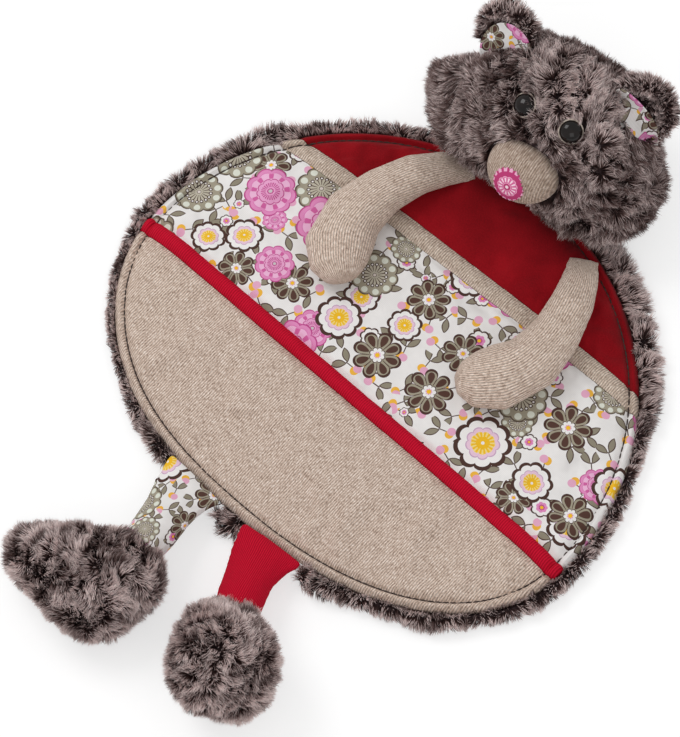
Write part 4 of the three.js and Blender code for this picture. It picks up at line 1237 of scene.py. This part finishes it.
# %% [markdown]
# Faux fur is a knit backing with long tufts of acrylic fibre. The fibres are dark brown
# at the root and silver at the tip, with a little red in both. Real fur has many
# thousands of fibres, so here each tuft of fibres is one narrow ribbon. Its own map
# holds a tone in one direction and the height in the other. The tone mixes a deep and a
# pale ramp, and the height reads them. The backing is the dark skin between the tufts.

# %% Fur materials
fur_dark = mottled("acrylic_fur_backing", ("#231A1B", "#423536"), 400, 4, starts=0.35,
                   rough=1.0, specular=0.1)
fur_pile, pile_tree, pile_shader = new_material("acrylic_fur_silver_tipped")
pile_map = add(pile_tree, "UVMap", uv_map="OFBake").outputs[0]
tone, rise, _ = add(pile_tree, "SeparateXYZ", {0: pile_map}).outputs
pile_deep = stops(pile_tree, rise, [
    (0.0, "#190D0C"), (0.5, "#36221F"), (0.78, "#5E4541"), (1.0, "#937A76")])
pile_pale = stops(pile_tree, rise, [
    (0.0, "#20100F"), (0.42, "#553B37"), (0.62, "#DAC2BE"), (1.0, "#FFF2EF")])
pile_mix = add(pile_tree, "Mix", {0: tone, 6: pile_deep, 7: pile_pale}, data_type="RGBA")
dress(pile_tree, pile_shader, pile_mix.outputs[2], rough=0.6, specular=0.25)
print("fur materials ready")

# %% [markdown]
# The tufts are drawn with numpy, because no modelling tool lays thousands of fibres.
# Roots are scattered over the backing, more where it is larger, each with the skin's
# outward direction. Everything random comes from one seeded generator for each piece.

# %% Roots
def unit(v):
    return v / np.maximum(np.linalg.norm(v, axis=1, keepdims=True), 1e-9)


def scatter(piece, per_square_mm, seed):
    """Random places on a skin in millimetres, with the skin's outward direction there."""
    dice = np.random.default_rng(seed)
    piece.data.calc_loop_triangles()
    corners = np.empty(len(piece.data.loop_triangles) * 3, np.int32)
    piece.data.loop_triangles.foreach_get("vertices", corners)
    corners = corners.reshape(-1, 3)
    place = points(piece)
    a, b, c = (place[corners[:, k]] for k in range(3))
    area = np.linalg.norm(np.cross(b - a, c - a), axis=1) / 2
    count = int(area.sum() * per_square_mm)
    pick = dice.choice(len(area), size=count, p=area / area.sum())
    share = dice.random((count, 2))
    share = np.where(share.sum(1, keepdims=True) > 1, 1 - share, share)
    roots = a[pick] + (b - a)[pick] * share[:, :1] + (c - a)[pick] * share[:, 1:]
    return roots, outward(piece)[corners[pick, 0]]


def wander(places, length_mm, seed):
    """A smooth random direction for each place, that changes over a length."""
    dice = np.random.default_rng(seed)
    total = np.zeros_like(places)
    for _ in range(9):
        wave = dice.normal(size=3)
        wave *= 2 * math.pi / (length_mm * dice.uniform(0.7, 1.6)) / np.linalg.norm(wave)
        total += np.sin(places @ wave + dice.uniform(0, 6.28))[:, None] * dice.normal(size=3)
    return total / 3


print("root tools ready")

# %% [markdown]
# A ribbon has two points at its root, two at its bend and one at its tip. All ribbons
# of a piece are one mesh, built at once from arrays, because adding them one by one
# would take hours.

# %% Ribbons
RIBBON = np.array([[0, 1, 3], [0, 3, 2], [2, 3, 4]])
RIBBON_RISE = np.array([0, 0, 0.55, 0.55, 1.0])
RIBBON_ACROSS = np.array([0, 1, 0, 1, 0.5]) * 0.02


def ribbon_mesh(name, verts, tone):
    """One mesh of ribbons, five points each, with a tone for each on its map."""
    count = len(verts)
    faces = (np.arange(count)[:, None, None] * 5 + RIBBON[None]).reshape(-1, 3)
    mesh = bpy.data.meshes.new(name)
    mesh.vertices.add(count * 5)
    mesh.vertices.foreach_set("co", (verts * MM).astype(np.float32).ravel())
    mesh.loops.add(len(faces) * 3)
    mesh.loops.foreach_set("vertex_index", faces.astype(np.int32).ravel())
    mesh.polygons.add(len(faces))
    mesh.polygons.foreach_set("loop_start", np.arange(0, len(faces) * 3, 3, dtype=np.int32))
    mesh.polygons.foreach_set("loop_total", np.full(len(faces), 3, np.int32))
    mesh.update(calc_edges=True)
    flat_tone = tone[:, None] * 0.96 + 0.01 + RIBBON_ACROSS[None]
    flat_rise = np.broadcast_to(0.01 + RIBBON_RISE * 0.98, (count, 5))
    flat = np.stack([flat_tone, flat_rise], axis=2).reshape(-1, 2)
    layer = mesh.uv_layers.new(name="OFBake")
    layer.data.foreach_set("uv", flat[faces.ravel()].astype(np.float32).ravel())
    mesh.polygons.foreach_set("use_smooth", np.ones(len(faces), bool))
    piece = bpy.data.objects.new(name, mesh)
    bpy.context.collection.objects.link(piece)
    mesh.materials.append(fur_pile)
    print(name, count, "tufts,", len(faces), "triangles")
    return piece


print("ribbon tools ready")

# %% [markdown]
# Each tuft starts out of the backing and bends over along a flow, which wanders from
# place to place. The tips of neighbours are drawn together in clumps, as washed plush
# does, and a clump shares some of its tone.

# %% Pile
from mathutils.kdtree import KDTree

CLUMP_MM = 2.6


def clump_heads(roots, dice):
    """Tufts chosen to lead a clump, about one in each cube of that size."""
    order = dice.permutation(len(roots))
    cubes = np.floor(roots[order] / CLUMP_MM).astype(int)
    return order[np.unique(cubes, axis=0, return_index=True)[1]]


def grow_pile(name, roots, out, lean, length, seed, silver=0.5, width=0.36, crush=0.9):
    """Ribbons of pile from the roots. lean is the flow, length is for each tuft in mm."""
    dice = np.random.default_rng(seed)
    count = len(roots)
    lean = lean + (wander(roots, 17, seed + 1) + wander(roots, 6, seed + 2) * 0.8) * crush
    lean = lean - out * (lean * out).sum(1, keepdims=True)
    start = unit(out * 1.25 + lean * 0.4 + dice.normal(scale=0.22, size=(count, 3)))
    end = unit(out * 1.25 * 0.55 + lean * 0.9 + dice.normal(scale=0.28, size=(count, 3)))
    long = (length * dice.uniform(0.7, 1.1, count))[:, None]
    tips = roots + long * (start + end) / 2
    heads = clump_heads(roots, dice)
    tree = KDTree(len(heads))
    for k, head in enumerate(heads):
        tree.insert(roots[head], k)
    tree.balance()
    near = heads[np.array([tree.find(root)[1] for root in roots])]
    pull = (tips[near] - tips) * dice.uniform(0.05, 0.6, (count, 1))
    shade = wander(roots, 8, seed + 5)[:, 0] * 0.46 + wander(roots, 24, seed + 7)[:, 0] * 0.16
    shade = shade + dice.normal(scale=0.2, size=count)[near]
    tone = np.clip(silver + shade + dice.normal(scale=0.38, size=count), 0, 1)
    side = unit(np.cross(end, out + dice.normal(scale=0.5, size=(count, 3))))
    rings = []
    for t, share in ((0.0, 0.9), (0.55, 1.0), (1.0, 0.0)):
        middle = roots + long * (start * t + (end - start) * t * t / 2) + pull * t * t
        middle[:, 2] = np.maximum(middle[:, 2], 0.25)
        half = side * width * share / 2
        rings += [middle - half, middle + half] if share else [middle]
    return ribbon_mesh(name, np.stack(rings, axis=1), tone)


def backing(node, name, drawn_in, voxel=2.2, filling=None):
    """The dark backing of a fur piece: the CAD skin drawn in under the pile."""
    skin = outer_skin(node, name, fur_dark, voxel, filling)
    relax(skin, 4)
    grow_skin(skin, -drawn_in)
    smooth(skin, 180)
    return skin


print("pile tools ready")

# %% [markdown]
# The ears' linings are set low in the ears, so the fur of the head parts round them. The
# left one faces forward. The right ear is turned, and its lining shows as a crescent.
# The place of each starts from the CAD lining and is shifted to where the photograph
# shows it, so both the head's fur and the ears need it.

# %% Places of the linings
LINING_HALVES = {"left": (13.8, 12.6), "right": (15.0, 4.8)}
LINING_TURN = {"left": 0.0, "right": 15.0}
EAR_SHIFT = {"left": (-4.0, -1.4), "right": (-2.0, 0.2)}
LINING_SHIFT = {"left": (-0.6, -7.6, 0.9), "right": (1.5, -2.9, 0.6)}


def lining_axes(side):
    """Shift of the ear, then centre, long way, short way and outward way of its lining."""
    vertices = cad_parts[side + "_ear_lining"].data.vertices
    place = np.array([vertex.co for vertex in vertices]) / MM
    middle = place.mean(0)
    face_out = np.linalg.svd(place - middle, full_matrices=False)[2][2]
    face_out *= np.sign(face_out @ np.array(head_forward))
    away = middle - np.array(HEAD_CENTRE)
    up = unit((away - face_out * (away @ face_out))[None])[0]
    level = np.cross(up, face_out)
    level *= np.sign(level @ np.array(head_across))
    shift = sum(step * np.array(way) for step, way in zip(EAR_SHIFT[side], (head_across, head_up)))
    centre = middle + shift + np.array(LINING_SHIFT[side]) @ np.array([level, up, face_out])
    turn = math.radians(LINING_TURN[side])
    long_way = math.cos(turn) * level + math.sin(turn) * up
    short_way = -math.sin(turn) * level + math.cos(turn) * up
    return shift, centre, long_way, short_way, face_out


def over_lining(side, places):
    """How far out each place is over the lining, 1 at its edge, and its height above it."""
    _, centre, long_way, short_way, face_out = lining_axes(side)
    off = places - centre
    long_half, short_half = LINING_HALVES[side]
    return np.hypot(off @ long_way / long_half, off @ short_way / short_half), off @ face_out


for side in ("left", "right"):
    print(side, "lining at", np.round(lining_axes(side)[1], 1))

# %% [markdown]
# The head isn't a smooth ball. Its cheeks and neck stand out and its crown is flatter,
# so the skin is pushed out or in a little round some places. Each lump is a place, a
# radius and a height in millimetres.

# %% Head skin
LUMPS = [
    ((-55, 120, 33), 12, 6.0), ((-64, 122, 38), 8, 8.0), ((-58, 107, 26), 9, 3.5),
    ((-54, 136, 42), 6, -6.0), ((-45, 107, 30), 11, 4.5), ((33, 129, 22), 13, 5.0),
    ((28, 118, 25), 11, 5.0), ((15, 111.5, 22), 9, 3.5), ((-15, 171, 45), 17, -6.5),
    ((-31, 164, 47), 9, -3.5), ((-40, 147, 50), 8, -4.5), ((24, 161, 35), 13, -5.0),
    ((40, 147, 27), 10, 3.0), ((4, 168, 42), 14, -2.0), ((33, 146, 40), 9, -3.0),
]


def swell_lumps(skin, lumps):
    """Push a skin outward about each place by up to a height, within about a radius."""
    place, out = points(skin), outward(skin)
    for middle, radius, height in lumps:
        near = np.exp(-(((place - np.array(middle)) / radius) ** 2).sum(1))
        place += out * (near * height)[:, None]
    move_points(skin, place)


head_skin = backing("head_cover", "head_backing", 2.2, filling="head_stuffing")
swell_lumps(head_skin, LUMPS)
settle(head_skin, "head", "brown_fur", "head_cover")
tuck_in("head_stuffing", head_skin, "head")

# %% [markdown]
# The head's fur is 7 to 8 mm long, longest at the neck and shorter on the face and the
# chin, and lies back from the face. No tuft stands in the muzzle, over an eye or over
# the right lining, and over the left one it is clipped. Beside each eye the tufts lean
# over its edge. The brow is made the most silver as painted light, where light falls on
# the top of the face, and a dark ring lies round each eye.

# %% Where head fur grows
roots, out = scatter(head_skin, 6.4, 11)
to_head = np.array(head_pose.inverted().to_3x3())
local = (roots - np.array(HEAD_CENTRE)) @ to_head.T
muzzle_off = (local - np.array(MUZZLE_CENTRE)) / (np.array(MUZZLE_RADII) + 1.0)
eye_gap = np.min([np.linalg.norm(local[:, :2] - np.array([sign * 11.25 + 1.1, 16.6]), axis=1)
                  for sign in (-1, 1)], axis=0)
beyond, height = over_lining("right", roots)
keep = np.linalg.norm(muzzle_off, axis=1) > 1
keep &= (eye_gap > 4.5) | (local[:, 2] < 0)
keep &= (beyond > 0.8) | (np.abs(height) > 9)
roots, out, local, eye_gap = roots[keep], out[keep], local[keep], eye_gap[keep]
on_face = local[:, 2] > 0
print("kept", int(keep.sum()), "of", len(keep), "tufts")

# %% [markdown]
# How the fur lies, how long it is and how silver it is are each one number or one
# direction for every root. Bell curves round the eyes, the chin and the brow change
# them softly, and the brow's curve adds painted light.

# %% Head fur
flow = unit(local * np.array([1.0, 1.0, 0.3])) @ to_head * 0.95
for sign in (-1, 1):
    toward = np.array([sign * 11.25 + 1.25, 16.7]) - local[:, :2]
    outer_side = toward[:, 0] * 0.9 - toward[:, 1] * 0.3 > 0
    gap = np.linalg.norm(toward, axis=1)
    beside = np.exp(-((gap - 5.5) / 2.2) ** 2) * outer_side * on_face
    inward = np.column_stack([unit(toward), np.zeros(len(toward))]) @ to_head
    flow += beside[:, None] * (inward * 2.6 - flow)
front_face = np.clip((local[:, 2] - 18) / 14, 0, 1)
chin = np.exp(-((local[:, 0] - 1) / 14) ** 2) * np.clip((-local[:, 1] - 12) / 8, 0, 1) * on_face
reach_out = (np.where(local[:, 1] < -12, 8.0, 7.2) - 1.2 * front_face) * (1 - 0.6 * chin)
beyond, height = over_lining("left", roots)
reach_out = np.where((beyond < 0.85) & (np.abs(height) < 9), reach_out * 0.42, reach_out)
# Painted light: the brow's tufts are made more silver where light falls on the face.
brow = np.exp(-(((local[:, :2] - np.array([3, 26])) / np.array([20, 11])) ** 2).sum(1)) * on_face
silver = 0.22 + 1.0 * brow - 0.35 * np.exp(-((eye_gap - 4.5) / 2.5) ** 2) * on_face
for label, part, seed in (("front", on_face, 21), ("back", ~on_face, 22)):
    fur = grow_pile("head_fur_" + label, roots[part], out[part], flow[part], reach_out[part], seed,
                    silver[part], width=0.31)
    settle(fur, "head", "brown_fur")

# %% [markdown]
# Round ears of the same fur have a printed lining set into their face. The right one
# is folded over the ear and the head, so it is lifted until it lies on both.

# %% Ears
def lay_over(skins, places, way, clear_mm):
    """Lift places along a way until each lies a little above the skins under it."""
    lift = np.zeros(len(places))
    for skin in skins:
        tree = tree_of(skin)
        for k, place in enumerate(places):
            hit = tree.ray_cast(Vector(place + way * 20), Vector(-way), 40)[0]
            if hit is not None:
                lift[k] = max(lift[k], float((np.array(hit) - place) @ way) + clear_mm)
    return places + lift[:, None] * way


def ear_lining(side, sign, ear_skin):
    """The printed lining of an ear: a round patch, cupped or folded over, with a wall."""
    _, centre, long_way, short_way, face_out = lining_axes(side)
    long_half, short_half = LINING_HALVES[side]
    lining = round_patch(side + "_ear_print", ear_print)
    disc = points(lining) * MM
    out = np.hypot(disc[:, 0], disc[:, 1])[:, None]
    across, along = disc[:, :1] * long_half, disc[:, 1:2] * short_half
    map_cloth(lining, np.hstack([across, along]) + np.array([sign * 31.0, 14.0]))
    cup = 1.9 * out ** 2 + 0.25 * np.sin(3 * np.arctan2(disc[:, 1:2], disc[:, :1]) + sign) * out
    spread_out = centre + across * long_way + along * short_way + cup * face_out
    if side == "right":
        spread_out = lay_over([head_skin, ear_skin], spread_out, face_out, 0.9)
    move_points(lining, spread_out)
    relax(lining, 3, sink=0.0)
    give_thickness(lining)
    smooth(lining, 50)
    settle(lining, "head", "floral_cotton", side + "_ear_lining")


for side, sign in (("left", -1), ("right", 1)):
    shift, centre, *_, face_out = lining_axes(side)
    ear_skin = backing(side + "_ear", side + "_ear_backing", 1.4, 1.3)
    move_points(ear_skin, points(ear_skin) + shift)
    settle(ear_skin, "head", "brown_fur", side + "_ear")
    ear_lining(side, sign, ear_skin)
    roots, out = scatter(ear_skin, 7.0, 31 + sign)
    beyond, height = over_lining(side, roots)
    keep = (beyond > 0.96) | (out @ face_out < 0)
    roots, out, height = roots[keep], out[keep], height[keep]
    flow = unit(roots - centre - height[:, None] * face_out) * 0.9
    length = np.where(out @ face_out > 0, 5.0, 6.0)
    fur = grow_pile(side + "_ear_fur", roots, out, flow, length, 51 + sign, 0.6, width=0.32, crush=0.4)
    settle(fur, "head", "brown_fur")

# %% [markdown]
# Each foot is a fur ball with its toe swept to one side, and lumps of its own. The left
# one has a crease on its instep where the pile is short, and dark as painted shade in
# the crease.

# %% Feet
FOOT_LUMPS = {
    "left": [((-53, -145, 14), 10, 4.0), ((-31, -121, 24), 7, -3.5), ((-46, -132, 26), 12, -4.5),
             ((-27, -159, 13), 10, -4.5), ((-15, -160, 12), 8, -3.0), ((-1, -125, 15), 10, 5.0),
             ((-46, -150, 17), 9, 3.0), ((0, -144, 12), 9, 3.0), ((-17, -127, 26), 6, -5.0)],
    "right": [((60, -125, 40), 12, 2.5), ((68, -129, 21), 13, 6.5), ((59, -119, 26), 8, 2.5),
              ((56, -150, 13), 11, -6.5), ((41, -151, 19), 8, -2.5), ((28, -122, 30), 8, 2.0)],
}
CREASE = np.array([-18, -127, 26])
CREASE_RADIUS = 9
for side, sign in (("left", -1), ("right", 1)):
    foot = side + "_foot"
    foot_skin = backing(foot + "_cover", foot + "_backing", 2.2, filling=foot + "_stuffing")
    swell_lumps(foot_skin, FOOT_LUMPS[side])
    settle(foot_skin, foot, "brown_fur", foot + "_cover")
    tuck_in(foot + "_stuffing", foot_skin, foot)
    roots, out = scatter(foot_skin, 6.0, 61 + sign)
    flow = unit(roots - roots.mean(0)) * 0.3
    # Painted shade: the tufts in the crease are made dark as well as short.
    crease = np.exp(-((roots - CREASE) ** 2).sum(1) / CREASE_RADIUS ** 2)
    fur = grow_pile(foot + "_fur", roots, out, flow, 6.7 - 2.5 * crease, 81 + sign,
                    0.86 - 0.8 * crease, width=0.32)
    settle(fur, foot, "brown_fur")

# %% [markdown]
# The back of the blanket is the same fur, laid pile down. Its edge shows all round the
# front as a fringe, fuller on some sides than on others, so a table gives the fullness
# at angles round the toy. The skin is drawn in where the fringe is thin.

# %% Blanket back
RIM_FULLNESS = [
    (-180, 0.6), (-172, 0.25), (-140, 0.2), (-128, 0.55), (-118, 0.6), (-105, 1), (-60, 1),
    (-50, 0.59), (-40, 0.51), (-30, 0.7), (-20, 0.4), (-8, 0.52), (3, 0.5), (14, 0.5), (22, 0.42),
    (32, 0.5), (40, 0.85), (46, 1), (70, 1.25), (105, 0.9), (122, 0.6), (132, 0.68), (140, 0.6),
    (150, 0.95), (162, 0.7), (180, 0.6),
]


def fullness(x, y):
    """How full the fringe is in each direction, from 0 to about 1."""
    angles, shares = zip(*RIM_FULLNESS)
    return np.interp(np.degrees(np.arctan2(y, x)), angles, shares)


back_skin = backing("back_panel", "back_backing", 1.6, 2.0)
lay = points(back_skin)
x, y = lay[:, 0], lay[:, 1]
past_edge = np.maximum(-to_edge(x, y), 0)
drawn = past_edge * (1 - fullness(x, y)) * 1.05
lay[:, :2] *= (1 - drawn / np.maximum(np.hypot(x, y), 1))[:, None]
move_points(back_skin, lay)
settle(back_skin, "blanket", "brown_fur", "back_panel")

# %% [markdown]
# The fringe is pile that grows on the rim and leans straight out. The underside lies
# pressed flat on the table, so it has only few and wide tufts, enough to look like fur
# from a low angle and from behind.

# %% Fringe and underside
UNDER_SHARE = 0.16
roots, out = scatter(back_skin, 4.4, 91)
rim = to_edge(roots[:, 0], roots[:, 1]) < 1.0
dice = np.random.default_rng(5)
under = ~rim & (out[:, 2] < -0.3) & (dice.random(len(roots)) < UNDER_SHARE)
outline = np.ones((len(roots), 3)) * (1, 1, 0)
outline[roots[:, 1] < 0, 1] = 2.2
past = unit(roots * outline)
rim_length = 3.0 + 4.5 * fullness(roots[rim, 0], roots[rim, 1])
fur = grow_pile("rim_fur", roots[rim], out[rim], past[rim], rim_length, 95, 0.75, width=0.3)
settle(fur, "blanket", "brown_fur")
fur = grow_pile("under_fur", roots[under], out[under], past[under] * 0.4, 7.5, 99, width=0.8)
settle(fur, "blanket", "brown_fur")

# %% [markdown]
# Inside the arms and the muzzle is loose polyester fibre, and behind the eyes are
# washers of moulded plastic with a fine grain. These stay as the CAD made them. The
# stuffings of the head, the legs and the feet and the batting are the copies above.

# %% Hidden pieces
washer = mottled("moulded_white_nylon", ("#DFDDD7", "#ECEAE4"), 1500, rough=0.5)
for node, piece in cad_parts.items():
    if piece.hide_render:
        continue
    inner = washer if node.endswith("washer") else fibre
    piece.data.materials.clear()
    piece.data.materials.append(inner)
    print(node, "wears", inner.name)
